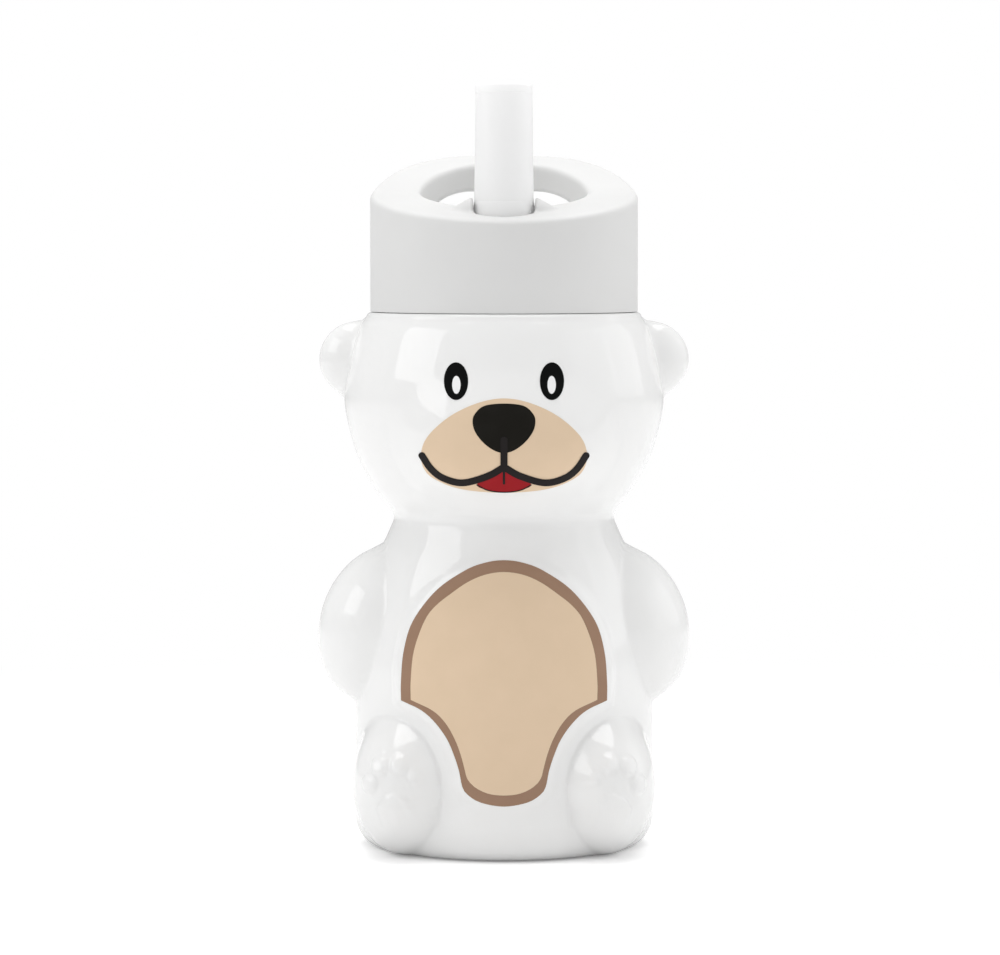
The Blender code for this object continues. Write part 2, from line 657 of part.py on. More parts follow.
def build_cap(parts, cutters):
    """Screw cap: threaded skirt, sloping top with a recess, finger window, spout well and straw socket."""
    plastic = new_material("white_matt_plastic", (0.82, 0.82, 0.82), 0.5)
    cap = place("cap", cap_blank(), parts, plastic)
    inner = CAP_RADIUS - CAP_WALL
    fold = Vector((0.0, math.sin(FOLD_ANGLE), math.cos(FOLD_ANGLE)))
    bore_x = BALL_RADIUS + PIN_LENGTH + SEAT_GAP
    socket_radius = STRAW_RADIUS + SEAT_GAP

    bead = helix_bead(inner - THREAD_RISE, SHOULDER_TOP + THREAD_START - THREAD_PITCH / 2, THREAD_BEAD)
    combine(cap, bead, "UNION", cutters)
    for side in (-1, 1):
        centre = (side * WELL_RADIUS, -PIVOT_FORWARD, PIVOT_HEIGHT)
        knuckle = ellipsoid_mesh(centre, (KNUCKLE_LENGTH, KNUCKLE_DEPTH, KNUCKLE_HEIGHT), 20, 12)
        combine(cap, knuckle, "UNION", cutters)
    boss_top = CEILING + RECESS_FLOOR_THICKNESS / 2
    combine(cap, spout_cylinder(socket_radius + SOCKET_WALL, SOCKET_BOTTOM, boss_top, 32), "UNION", cutters)

    combine(cap, ellipsoid_mesh(PIVOT, (WELL_RADIUS,) * 3, 32, 16), "DIFFERENCE", cutters)
    up = PIVOT + Vector((0, 0, 2 * CAP_RADIUS))
    combine(cap, cylinder_mesh(WELL_RADIUS, PIVOT, up), "DIFFERENCE", cutters)
    combine(cap, spout_slot(), "DIFFERENCE", cutters)
    trough_end = PIVOT + fold * (NOZZLE_LENGTH + SLOT_END_GAP)
    combine(cap, cylinder_mesh(WELL_RADIUS, PIVOT, trough_end), "DIFFERENCE", cutters)
    pin_bore = cylinder_mesh(
        PIN_RADIUS + SEAT_GAP, PIVOT - Vector((bore_x, 0, 0)), PIVOT + Vector((bore_x, 0, 0)), 16
    )
    combine(cap, pin_bore, "DIFFERENCE", cutters)
    combine(cap, spout_cylinder(SEAT_RADIUS + SEAT_GAP, SEAT_FLOOR, PIVOT_HEIGHT), "DIFFERENCE", cutters)
    combine(cap, spout_cylinder(SEAT_BORE, SOCKET_TOP - OVERCUT, PIVOT_HEIGHT), "DIFFERENCE", cutters)
    combine(cap, spout_cylinder(socket_radius, SOCKET_BOTTOM - OVERCUT, SOCKET_TOP), "DIFFERENCE", cutters)
    window = outline_mesh([window_outline()], CAP_RADIUS)
    for vertex in window.vertices:
        vertex.co.y += CAP_RADIUS + RECESS_OFFSET + RECESS_RADIUS / 4
    combine(cap, window, "DIFFERENCE", cutters)
    vent_low = (VENT_X, VENT_Y, CEILING - OVERCUT)
    vent_high = (VENT_X, VENT_Y, RECESS_FLOOR + OVERCUT)
    combine(cap, cylinder_mesh(VENT_STEM_RADIUS + SEAT_GAP, vent_low, vent_high, 16), "DIFFERENCE", cutters)


def build_gasket(parts):
    """Flat silicone ring between the neck's rim and the cap."""
    outer = CAP_RADIUS - CAP_WALL - SEAT_GAP
    inner = outer - GASKET_WIDTH
    low, high = GASKET_BOTTOM, GASKET_BOTTOM + GASKET_THICKNESS
    ring = [(inner, low), (inner, high), (outer, high), (outer, low), (inner, low)]
    silicone = new_material("clear_silicone", (0.8, 0.8, 0.8), 0.45)
    place("cap_gasket", turned_mesh(ring, 48), parts, silicone)


def build_spout(parts, cutters):
    """Flip-up spout: a ball with two pivot pins, a nozzle with a lip, and a stepped bore."""
    tip = NOZZLE_LENGTH
    lip = tip - LIP_HEIGHT
    profile = [(0.0, tip)]
    corner = (NOZZLE_TIP_RADIUS - TIP_ROUNDING, tip - TIP_ROUNDING)
    profile += arc(corner, (TIP_ROUNDING, TIP_ROUNDING), 90, 0, 3)
    profile += [(NOZZLE_TIP_RADIUS, lip), (NOZZLE_TIP_RADIUS - LIP_STEP, lip - LIP_STEP)]
    profile += arc((0.0, 0.0), (BALL_RADIUS, BALL_RADIUS), 0, -90, 8)
    mesh = turned_mesh(profile, ROUND_STEPS)
    frosted = new_material("frosted_plastic", (0.86, 0.86, 0.86), 0.35)
    spout = place("spout", mesh, parts, frosted)
    spout.location = PIVOT

    reach = Vector((BALL_RADIUS + PIN_LENGTH, 0, 0))
    combine(spout, cylinder_mesh(PIN_RADIUS, PIVOT - reach, PIVOT + reach, 16), "UNION", cutters)
    step = PIVOT.z + SPOUT_BORE_STEP
    taper = SPOUT_BORE - SEAT_BORE
    bore = [
        (0.0, PIVOT.z + tip + OVERCUT), (SPOUT_TIP_BORE, PIVOT.z + tip + OVERCUT), (SPOUT_TIP_BORE, step),
        (SPOUT_BORE, step - SPOUT_TIP_BORE + SPOUT_BORE), (SPOUT_BORE, PIVOT.z - BALL_BORE_DEPTH + taper),
        (SEAT_BORE, PIVOT.z - BALL_BORE_DEPTH),
        (SEAT_BORE, PIVOT.z - BALL_RADIUS - OVERCUT), (0.0, PIVOT.z - BALL_RADIUS - OVERCUT),
    ]
    hole = turned_mesh(bore, 24)
    for vertex in hole.vertices:
        vertex.co.y -= PIVOT_FORWARD
    combine(spout, hole, "DIFFERENCE", cutters)


def build_seat(parts):
    """Silicone seat under the spout's ball: a round hollow with a flat rim on top, and a bore."""
    low = SEAT_FLOOR + SEAT_GAP
    reach = BALL_RADIUS + SEAT_GAP
    inner_angle = math.degrees(math.asin(SEAT_BORE / reach)) - 90
    outer_angle = math.degrees(math.asin(SEAT_HOLLOW_RADIUS / reach)) - 90
    hollow = arc((0.0, PIVOT_HEIGHT), (reach, reach), inner_angle, outer_angle, 4)
    rim = (SEAT_RADIUS, hollow[-1][1])
    ring = [(SEAT_BORE, low)] + hollow + [rim, (SEAT_RADIUS, low), (SEAT_BORE, low)]
    mesh = turned_mesh(ring, 24)
    for vertex in mesh.vertices:
        vertex.co.y -= PIVOT_FORWARD
    silicone = new_material("seat_silicone", (0.78, 0.78, 0.78), 0.5)
    place("spout_seal", mesh, parts, silicone)


def build_straw(parts):
    """Drinking straw from the cap's socket down to just above the bottle's floor."""
    high = SOCKET_TOP - SEAT_GAP
    low = WALL + STRAW_FLOOR_GAP
    inner = STRAW_RADIUS - STRAW_WALL
    tube = [(inner, low), (inner, high), (STRAW_RADIUS, high), (STRAW_RADIUS, low), (inner, low)]
    mesh = turned_mesh(tube, 24)
    for vertex in mesh.vertices:
        vertex.co.y -= PIVOT_FORWARD
    clear = new_material("clear_plastic", (0.85, 0.85, 0.85), 0.25)
    place("straw", mesh, parts, clear)


def build_vent(parts):
    """Small silicone vent valve: a flange under the recess floor, a stem through it and a bulb on top."""
    flange_top = CEILING - SEAT_GAP
    flange_low = flange_top - VENT_FLANGE_THICKNESS
    bulb_low = RECESS_FLOOR + SEAT_GAP
    dome_low = bulb_low + VENT_DOME_START
    profile = arc((0.0, dome_low), (VENT_BULB_RADIUS, VENT_DOME_HEIGHT), 90, 0, 3)
    profile[0] = (0.0, dome_low + VENT_DOME_HEIGHT)
    profile += [(VENT_BULB_RADIUS, bulb_low), (VENT_STEM_RADIUS, bulb_low)]
    profile += [(VENT_STEM_RADIUS, flange_top), (VENT_FLANGE_RADIUS, flange_top)]
    profile += [(VENT_FLANGE_RADIUS, flange_low), (0.0, flange_low)]
    mesh = turned_mesh(profile, 20)
    for vertex in mesh.vertices:
        vertex.co.x += VENT_X
        vertex.co.y += VENT_Y
    silicone = new_material("vent_silicone", (0.78, 0.78, 0.78), 0.5)
    place("vent_valve", mesh, parts, silicone)


def cut_along_grid(mesh):
    """Cuts a flat print along a grid, so that it can bend."""
    work = bmesh.new()
    work.from_mesh(mesh)
    for axis in (0, 2):
        values = [v.co[axis] for v in work.verts]
        middle = (min(values) + max(values)) / 2
        count = math.ceil((max(values) - middle) / PRINT_GRID)
        for level in middle + PRINT_GRID * np.arange(1 - count, count):
            plane = [0.0, 0.0, 0.0]
            plane[axis] = float(level)
            normal = [0.0, 0.0, 0.0]
            normal[axis] = 1.0
            geometry = work.verts[:] + work.edges[:] + work.faces[:]
            bmesh.ops.bisect_plane(
                work, geom=geometry, dist=CUT_TOLERANCE, plane_co=plane, plane_no=normal
            )
    bmesh.ops.triangulate(work, faces=work.faces)
    work.to_mesh(mesh)
    work.free()


def print_layer(name, mesh, tree, parts, surface, height=0.0):
    """Raises a flat print to its height and wraps it on the body's front skin, a small gap above it."""
    cut_along_grid(mesh)
    for vertex in mesh.vertices:
        vertex.co.z += height
    lifts = [PRINT_GAP + (PRINT_THICKNESS if vertex.co.y < 0 else 0.0) for vertex in mesh.vertices]
    for vertex, lift in zip(mesh.vertices, lifts):
        vertex.co.y = front_hit(tree, vertex.co.x, vertex.co.z) - lift
    for share in (0.5, 0.25, 0.75):
        for edge in mesh.edges:
            lift_off_ridge(mesh, edge, lifts, share, tree)
    place(name, mesh, parts, surface)


def lift_off_ridge(mesh, edge, lifts, share, tree):
    """Moves a print's edge forward where the skin under it rises between its ends."""
    start, end = edge.vertices
    if lifts[start] != lifts[end]:
        return
    point = mesh.vertices[start].co.lerp(mesh.vertices[end].co, share)
    short = point.y - front_hit(tree, point.x, point.z) + lifts[start] - PRINT_GAP / 2
    if short > 0:
        mesh.vertices[start].co.y -= short
        mesh.vertices[end].co.y -= short


def flat_print(outlines):
    return outline_mesh(outlines, PRINT_THICKNESS / 2)


def cut_print(name, outlines, cutter_outlines, cutters):
    """A flat print with other prints' outlines cut out of it."""
    made = place(name, flat_print(outlines), cutters)
    for outline in cutter_outlines:
        combine(made, outline_mesh([outline], PRINT_THICKNESS), "DIFFERENCE", cutters)
    return evaluated_mesh(made)


def separate_bodies(mesh):
    """The mesh's separate bodies as meshes of their own, the highest first."""
    work = bmesh.new()
    work.from_mesh(mesh)
    left = set(work.verts)
    found = []
    while left:
        body, edge = set(), {left.pop()}
        while edge:
            body |= edge
            edge = {e.other_vert(v) for v in edge for e in v.link_edges} - body
        left -= body
        found.append(body)
    found.sort(key=lambda body: -max(v.co.z for v in body))
    indices = [{v.index for v in body} for body in found]
    work.free()
    return [kept_vertices(mesh, kept) for kept in indices]


def kept_vertices(mesh, kept):
    work = bmesh.new()
    work.from_mesh(mesh)
    bmesh.ops.delete(work, geom=[v for v in work.verts if v.index not in kept], context="VERTS")
    part = bpy.data.meshes.new(mesh.name)
    work.to_mesh(part)
    work.free()
    return part


def face_outline(half, spacing=FEATURE_SPACING):
    return mirrored(curve_through(half, spacing, level=True))


def past_x(line, limit):
    """The part of a line past this X, from the point where it crosses it."""
    after = next(i for i, point in enumerate(line) if point[0] > limit)
    start, end = line[after - 1], line[after]
    crossing = start + (end - start) * (limit - start[0]) / (end[0] - start[0])
    return [tuple(float(v) for v in p) for p in (crossing, *line[after:])]


def mouth_outline(width, top):
    """A smile with round ends and a lip line that rises from its middle to the top."""
    line = np.array(curve_through(SMILE_POINTS, SMILE_SPACING))
    along = np.gradient(line, axis=0)
    along /= np.linalg.norm(along, axis=1)[:, None]
    side = np.stack([-along[:, 1], along[:, 0]], axis=1) * width / 2
    end_angle = math.degrees(math.atan2(side[-1][1], side[-1][0]))
    end = arc(line[-1], (width / 2, width / 2), end_angle, end_angle - 180, 6)
    half = [(0.0, top), (width / 2, top)] + past_x(line + side, width / 2)
    return mirrored(half + end[1:-1] + past_x(line - side, 0.0)[::-1])


def build_face(tree, parts, cutters):
    """Eyes, muzzle patch, nose, mouth and tongue, inlaid beside each other as one printed layer."""
    black = new_material("black_print", (0.004, 0.004, 0.004), 0.35)
    dark = new_material("dark_print", (0.012, 0.011, 0.009), 0.35)
    white = new_material("white_print", (0.85, 0.85, 0.85), 0.35)
    tan = new_material("tan_print", (0.72, 0.56, 0.4), 0.35)
    red = new_material("red_print", (0.3, 0.018, 0.022), 0.35)

    for side, where in ((-1, "left"), (1, "right")):
        eye = oval(side * EYE_X, EYE_RISE, EYE_HALF_WIDTH, EYE_HALF_HEIGHT)
        glint = oval(side * GLINT_X, GLINT_RISE, GLINT_HALF_WIDTH, GLINT_HALF_HEIGHT, 12)
        ring = flat_print([eye, grown(glint, PRINT_GAP)])
        print_layer(f"eye_{where}", ring, tree, parts, black, FACE_HEIGHT)
        print_layer(f"eye_glint_{where}", flat_print([glint]), tree, parts, white, FACE_HEIGHT)

    nose = face_outline(NOSE_OUTLINE)
    tongue = face_outline(TONGUE_OUTLINE)
    mouth = mouth_outline(MOUTH_WIDTH, NOSE_OUTLINE[-1][1] - PRINT_GAP)
    wide_mouth = mouth_outline(MOUTH_WIDTH + 2 * PRINT_GAP, LIP_LINE_TOP)
    print_layer("nose", flat_print([nose]), tree, parts, dark, FACE_HEIGHT)
    print_layer("mouth", flat_print([mouth]), tree, parts, dark, FACE_HEIGHT)

    tongue_mesh = cut_print("tongue_flat", [tongue], [wide_mouth], cutters)
    print_layer("tongue", tongue_mesh, tree, parts, red, FACE_HEIGHT)

    holes = [wide_mouth, grown(nose, PRINT_GAP), grown(tongue, PRINT_GAP)]
    patch = cut_print("muzzle_flat", [face_outline(MUZZLE_OUTLINE, PATCH_SPACING)], holes, cutters)
    bodies = separate_bodies(patch)
    for name, body in zip(("muzzle_patch", "chin_patch"), bodies):
        print_layer(name, body, tree, parts, tan, FACE_HEIGHT)


def build_belly(tree, parts):
    """Tan belly patch in its brown border."""
    brown = new_material("brown_print", (0.34, 0.215, 0.147), 0.35)
    tan = new_material("belly_tan_print", (0.72, 0.56, 0.4), 0.35)
    patch = belly_outline(PATCH_UPPER, PATCH_LOWER)
    ring = flat_print([belly_outline(), grown(patch, PRINT_GAP)])
    print_layer("tummy_border", ring, tree, parts, brown)
    print_layer("tummy_patch", flat_print([patch]), tree, parts, tan)


def build():
    for old in list(bpy.data.objects):
        bpy.data.objects.remove(old)
    parts = new_collection("bear_bottle")
    cutters = new_collection("cutters")
    cutters.hide_render = True
    tree = build_bottle(parts, cutters)
    build_cap(parts, cutters)
    build_gasket(parts)
    build_spout(parts, cutters)
    build_seat(parts)
    build_straw(parts)
    build_vent(parts)
    build_face(tree, parts, cutters)
    build_belly(tree, parts)


build()
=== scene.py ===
import math

import bpy
import numpy as np
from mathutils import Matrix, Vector


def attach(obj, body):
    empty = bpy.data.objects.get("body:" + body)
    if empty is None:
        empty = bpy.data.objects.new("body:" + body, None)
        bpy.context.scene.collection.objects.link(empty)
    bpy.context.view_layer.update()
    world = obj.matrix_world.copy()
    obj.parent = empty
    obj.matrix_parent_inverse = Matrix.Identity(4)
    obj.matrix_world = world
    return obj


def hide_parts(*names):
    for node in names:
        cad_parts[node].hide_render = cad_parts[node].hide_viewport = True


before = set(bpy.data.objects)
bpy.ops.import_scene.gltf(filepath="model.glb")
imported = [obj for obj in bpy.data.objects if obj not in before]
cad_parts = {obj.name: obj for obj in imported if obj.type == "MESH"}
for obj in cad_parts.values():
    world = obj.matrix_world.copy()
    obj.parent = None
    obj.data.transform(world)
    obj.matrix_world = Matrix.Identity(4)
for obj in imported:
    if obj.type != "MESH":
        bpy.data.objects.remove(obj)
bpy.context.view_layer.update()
scene = bpy.context.scene
scene.view_settings.view_transform = "Standard"

# camera and light: a level look at the cap's height from 0.9 m
cameraSetup = dict(place=(0.0, -0.9, 0.1344), aim=(0.0, 0.0, 0.0819), lens=145.2, shift=-0.004)
worldSetup = dict(fill=0.6, shown=1.0)
floorSetup = dict(size=8.0, level=-0.0002, colour=0.93, glow=0.25, fadeFrom=0.12, fadeTo=0.4)
lampSetup = dict(
    overhead=dict(place=(0.0, 0.2, 1.5), width=1.3, height=1.3, watts=14.5),
    leftSoftbox=dict(place=(-1.05, -0.36, 0.7), width=0.75, height=0.66, watts=2.9),
    rightPanel=dict(place=(1.05, -0.36, 0.5), width=0.75, height=0.9, watts=1.0),
    rightBackPanel=dict(place=(1.25, 0.3, 0.55), width=0.8, height=0.9, watts=1.6),
)
lampAim = (0.0, 0.0, 0.08)


def addCamera():
    bpy.ops.object.camera_add(location=cameraSetup["place"])
    camera = bpy.context.object
    camera.name = "photoCamera"
    aim = Vector(cameraSetup["aim"]) - Vector(cameraSetup["place"])
    camera.rotation_euler = aim.to_track_quat("-Z", "Y").to_euler()
    camera.data.lens = cameraSetup["lens"]
    camera.data.sensor_width = 36.0
    camera.data.shift_x = cameraSetup["shift"]
    camera.data.clip_start = 0.01
    scene.camera = camera


def seenByLens(nodes, links):
    # 1 for what the camera sees, through clear plastic too, 0 for light that falls on the bottle
    path = nodes.new("ShaderNodeLightPath")
    either = nodes.new("ShaderNodeMath")
    either.operation = "MAXIMUM"
    links.new(path.outputs["Is Camera Ray"], either.inputs[0])
    links.new(path.outputs["Is Transmission Ray"], either.inputs[1])
    return either.outputs[0]


def addWorld():
    world = bpy.data.worlds.new("studioWorld")
    world.use_nodes = True
    nodes, links = world.node_tree.nodes, world.node_tree.links
    strength = nodes.new("ShaderNodeMapRange")
    strength.inputs["To Min"].default_value = worldSetup["fill"]
    strength.inputs["To Max"].default_value = worldSetup["shown"]
    links.new(seenByLens(nodes, links), strength.inputs["Value"])
    nodes["Background"].inputs["Color"].default_value = (1.0, 1.0, 1.0, 1.0)
    links.new(strength.outputs[0], nodes["Background"].inputs["Strength"])
    scene.world = world


def addLamp(name, lamp):
    bpy.ops.object.light_add(type="AREA", location=lamp["place"])
    light = bpy.context.object
    light.name = name
    light.data.shape = "RECTANGLE"
    light.data.size = lamp["width"]
    light.data.size_y = lamp["height"]
    light.data.energy = lamp["watts"]
    toBottle = Vector(lampAim) - Vector(lamp["place"])
    light.rotation_euler = toBottle.to_track_quat("-Z", "Y").to_euler()


def addFloor():
    bpy.ops.mesh.primitive_plane_add(size=floorSetup["size"], location=(0.0, 0.0, floorSetup["level"]))
    floor = bpy.context.object
    floor.name = "paleFloor"
    paint = bpy.data.materials.new("paleFloorPaint")
    paint.use_nodes = True
    nodes, links = paint.node_tree.nodes, paint.node_tree.links
    nodes.clear()
    matt = nodes.new("ShaderNodeBsdfDiffuse")
    matt.inputs["Color"].default_value = (floorSetup["colour"],) * 3 + (1.0,)
    glow = nodes.new("ShaderNodeEmission")
    shown = nodes.new("ShaderNodeMath")
    shown.operation = "MULTIPLY"
    shown.inputs[1].default_value = floorSetup["glow"]
    links.new(seenByLens(nodes, links), shown.inputs[0])
    links.new(shown.outputs[0], glow.inputs["Strength"])
    both = nodes.new("ShaderNodeAddShader")
    links.new(matt.outputs[0], both.inputs[0])
    links.new(glow.outputs[0], both.inputs[1])
    # further out the lens sees plain white, so that no horizon shows
    away = nodes.new("ShaderNodeVectorMath")
    away.operation = "LENGTH"
    links.new(nodes.new("ShaderNodeTexCoord").outputs["Object"], away.inputs[0])
    fade = nodes.new("ShaderNodeMapRange")
    fade.interpolation_type = "SMOOTHSTEP"
    fade.inputs["From Min"].default_value = floorSetup["fadeFrom"]
    fade.inputs["From Max"].default_value = floorSetup["fadeTo"]
    links.new(away.outputs["Value"], fade.inputs["Value"])
    far = nodes.new("ShaderNodeMath")
    far.operation = "MULTIPLY"
    links.new(seenByLens(nodes, links), far.inputs[0])
    links.new(fade.outputs[0], far.inputs[1])
    white = nodes.new("ShaderNodeEmission")
    mixed = nodes.new("ShaderNodeMixShader")
    links.new(far.outputs[0], mixed.inputs["Fac"])
    links.new(both.outputs[0], mixed.inputs[1])
    links.new(white.outputs[0], mixed.inputs[2])
    output = nodes.new("ShaderNodeOutputMaterial")
    links.new(mixed.outputs[0], output.inputs["Surface"])
    floor.data.materials.append(paint)


addCamera()
addWorld()
for lampName, lamp in lampSetup.items():
    addLamp(lampName, lamp)
addFloor()
print("camera, lights and floor are set")


# materials: all read Object coordinates, sizes of patterns in metres
def addNoise(nodes, links, source, size, detail=3.0):
    noise = nodes.new("ShaderNodeTexNoise")
    noise.inputs["Scale"].default_value = 1.0 / size
    noise.inputs["Detail"].default_value = detail
    links.new(source, noise.inputs["Vector"])
    return noise.outputs["Fac"]


def addRange(nodes, links, source, low, high):
    # noise mostly lies between 0.3 and 0.7
    spread = nodes.new("ShaderNodeMapRange")
    spread.inputs["From Min"].default_value = 0.3
    spread.inputs["From Max"].default_value = 0.7
    spread.inputs["To Min"].default_value = low
    spread.inputs["To Max"].default_value = high
    links.new(source, spread.inputs["Value"])
    return spread.outputs[0]


def addBump(nodes, links, source, depth, before=None):
    bump = nodes.new("ShaderNodeBump")
    bump.inputs["Strength"].default_value = 1.0
    bump.inputs["Distance"].default_value = depth
    links.new(source, bump.inputs["Height"])
    if before:
        links.new(before, bump.inputs["Normal"])
    return bump.outputs["Normal"]


def makeFinish(name, look):
    finish = bpy.data.materials.new(name)
    finish.use_nodes = True
    nodes, links = finish.node_tree.nodes, finish.node_tree.links
    shader = nodes["Principled BSDF"]
    place = nodes.new("ShaderNodeTexCoord").outputs["Object"]
    tint = nodes.new("ShaderNodeMix")
    tint.data_type = "RGBA"
    tint.inputs["A"].default_value = (*look["colour"], 1.0)
    tint.inputs["B"].default_value = (*look["shade"], 1.0)
    cloud = addNoise(nodes, links, place, look["cloudSize"])
    links.new(addRange(nodes, links, cloud, 0.0, 1.0), tint.inputs["Factor"])
    links.new(tint.outputs["Result"], shader.inputs["Base Color"])
    smear = addNoise(nodes, links, place, look["smearSize"], 4.0)
    links.new(addRange(nodes, links, smear, *look["roughness"]), shader.inputs["Roughness"])
    wave = addBump(nodes, links, addNoise(nodes, links, place, look["waveSize"], 1.0), look["waveDepth"])
    grain = addNoise(nodes, links, place, look["grainSize"], 2.0)
    links.new(addBump(nodes, links, grain, look["grainDepth"], wave), shader.inputs["Normal"])
    for socket, value in look.get("sockets", {}).items():
        shader.inputs[socket].default_value = value
    return finish


def milky(weight, scale, ior, transmission=0.0):
    # light is scattered alike in all colours, so that white stays white
    return {"Subsurface Weight": weight, "Subsurface Radius": (1.0, 1.0, 1.0), "Subsurface Scale": scale,
            "IOR": ior, "Transmission Weight": transmission}


finishes = {
    "body_plastic": makeFinish("glossyWhitePlastic", dict(
        colour=(0.885, 0.885, 0.88), shade=(0.87, 0.87, 0.865), cloudSize=0.03,
        roughness=(0.01, 0.025), smearSize=0.012, waveSize=0.016, waveDepth=0.00003,
        grainSize=0.0004, grainDepth=0.0000012, sockets=milky(0.1, 0.001, 1.5))),
    "cap_plastic": makeFinish("satinWhitePlastic", dict(
        colour=(0.735, 0.735, 0.73), shade=(0.715, 0.715, 0.71), cloudSize=0.02,
        roughness=(0.5, 0.6), smearSize=0.008, waveSize=0.012, waveDepth=0.00003,
        grainSize=0.00025, grainDepth=0.000012, sockets=milky(0.12, 0.0006, 1.49))),
    "spout_plastic": makeFinish("frostedSpoutPlastic", dict(
        colour=(0.99, 0.99, 0.985), shade=(0.98, 0.98, 0.975), cloudSize=0.012,
        roughness=(0.28, 0.38), smearSize=0.005, waveSize=0.008, waveDepth=0.00002,
        grainSize=0.0003, grainDepth=0.000006, sockets=milky(1.0, 0.0025, 1.42, transmission=0.02))),
    "straw_plastic": makeFinish("frostedStrawPlastic", dict(
        colour=(0.96, 0.96, 0.96), shade=(0.93, 0.93, 0.93), cloudSize=0.012,
        roughness=(0.25, 0.35), smearSize=0.004, waveSize=0.006, waveDepth=0.00002,
        grainSize=0.0003, grainDepth=0.000005, sockets={"Transmission Weight": 0.45, "IOR": 1.45})),
    "silicone": makeFinish("milkySilicone", dict(
        colour=(0.88, 0.88, 0.87), shade=(0.84, 0.84, 0.83), cloudSize=0.006,
        roughness=(0.42, 0.55), smearSize=0.003, waveSize=0.004, waveDepth=0.00001,
        grainSize=0.0002, grainDepth=0.000008, sockets=milky(0.4, 0.0005, 1.41))),
}


def makeInk(name, colour, shade):
    return makeFinish(name, dict(
        colour=colour, shade=shade, cloudSize=0.006, roughness=(0.38, 0.46), smearSize=0.004,
        waveSize=0.01, waveDepth=0.00002, grainSize=0.00025, grainDepth=0.000002,
        sockets={"Specular IOR Level": 0.03}))


finishes["print_black"] = makeInk("blackInk", (0.004, 0.0045, 0.0045), (0.006, 0.006, 0.006))
finishes["print_white"] = makeInk("whiteInk", (0.9, 0.9, 0.9), (0.86, 0.86, 0.86))
finishes["print_red"] = makeInk("redInk", (0.33, 0.019, 0.024), (0.31, 0.017, 0.022))
finishes["print_tan"] = makeInk("tanInk", (0.755, 0.585, 0.42), (0.735, 0.57, 0.405))
finishes["print_brown"] = makeInk("brownInk", (0.345, 0.22, 0.152), (0.325, 0.205, 0.14))
darkInk = makeInk("softBlackInk", (0.013, 0.012, 0.01), (0.016, 0.015, 0.013))
lineInk = makeInk("lineInk", (0.021, 0.0185, 0.0185), (0.025, 0.022, 0.022))
print("materials are made")


# helpers for modelling by operators
weldDistance = 0.000004
levelStep = 0.0001  # heights closer than this count as the same
batchSize = 4000  # points measured in one go


def pickOnly(piece):
    if bpy.context.object and bpy.context.object.mode != "OBJECT":
        bpy.ops.object.mode_set(mode="OBJECT")
    bpy.ops.object.select_all(action="DESELECT")
    if piece:
        piece.select_set(True)
        bpy.context.view_layer.objects.active = piece


def editAll(piece):
    pickOnly(piece)
    bpy.ops.object.mode_set(mode="EDIT")
    bpy.ops.mesh.select_all(action="SELECT")


def endEdit():
    bpy.ops.object.mode_set(mode="OBJECT")


def finishWith(piece, kind, **settings):
    pickOnly(piece)
    modifier = piece.modifiers.new(kind.title(), kind)
    for setting, value in settings.items():
        setattr(modifier, setting, value)
    bpy.ops.object.modifier_apply(modifier=modifier.name)


def carve(piece, cutter, operation="DIFFERENCE"):
    finishWith(piece, "BOOLEAN", operation=operation, object=cutter, solver="EXACT")
    bpy.data.objects.remove(cutter)


def added(name):
    piece = bpy.context.object
    piece.name = name
    piece.data.name = name
    return piece


def applyPlace(piece):
    pickOnly(piece)
    bpy.ops.object.transform_apply(location=True, rotation=True, scale=True)


def vertexArray(piece):
    points = np.empty(len(piece.data.vertices) * 3)
    piece.data.vertices.foreach_get("co", points)
    return points.reshape(-1, 3)


def setVertices(piece, points):
    piece.data.vertices.foreach_set("co", np.asarray(points, float).ravel())
    piece.data.update()


def turnedPiece(name, outline, columns, closed=False):
    # the outline's (radius, height) points are drawn one after another and spun round the upright axis
    pickOnly(None)
    bpy.ops.mesh.primitive_plane_add(size=0.001)
    piece = added(name)
    editAll(piece)
    bpy.ops.mesh.merge(type="CENTER")
    bpy.ops.transform.translate(value=(outline[0][0], 0.0, outline[0][1]))
    points = list(outline) + ([outline[0]] if closed else [])
    for (radius, height), (nextRadius, nextHeight) in zip(points, points[1:]):
        step = (nextRadius - radius, 0.0, nextHeight - height)
        bpy.ops.mesh.extrude_region_move(TRANSFORM_OT_translate={"value": step})
    bpy.ops.mesh.select_all(action="SELECT")
    bpy.ops.mesh.spin(steps=columns, angle=math.tau, center=(0.0, 0.0, 0.0), axis=(0.0, 0.0, 1.0))
    bpy.ops.mesh.select_all(action="SELECT")
    bpy.ops.mesh.remove_doubles(threshold=weldDistance)
    bpy.ops.mesh.normals_make_consistent(inside=False)
    endEdit()
    return piece


def shapedSheet(name, points):
    # a filled circle whose corners are put on the outline's (X, Z) points
    pickOnly(None)
    bpy.ops.mesh.primitive_circle_add(vertices=len(points), radius=0.01, fill_type="NGON")
    piece = added(name)
    setVertices(piece, [(x, 0.0, z) for x, z in points])
    return piece


def shapedPlate(name, points, depth):
    # such a sheet pulled out along Y on both sides
    piece = shapedSheet(name, points)
    editAll(piece)
    bpy.ops.transform.translate(value=(0.0, -depth / 2, 0.0))
    bpy.ops.mesh.extrude_region_move(TRANSFORM_OT_translate={"value": (0.0, depth, 0.0)})
    bpy.ops.mesh.select_all(action="SELECT")
    bpy.ops.mesh.normals_make_consistent(inside=False)
    endEdit()
    return piece


def rod(name, radius, start, end, sides=64):
    axis = Vector(end) - Vector(start)
    pickOnly(None)
    bpy.ops.mesh.primitive_cylinder_add(
        vertices=sides, radius=radius, depth=axis.length, location=(Vector(start) + Vector(end)) / 2,
        rotation=axis.to_track_quat("Z", "Y").to_euler())
    piece = added(name)
    applyPlace(piece)
    return piece


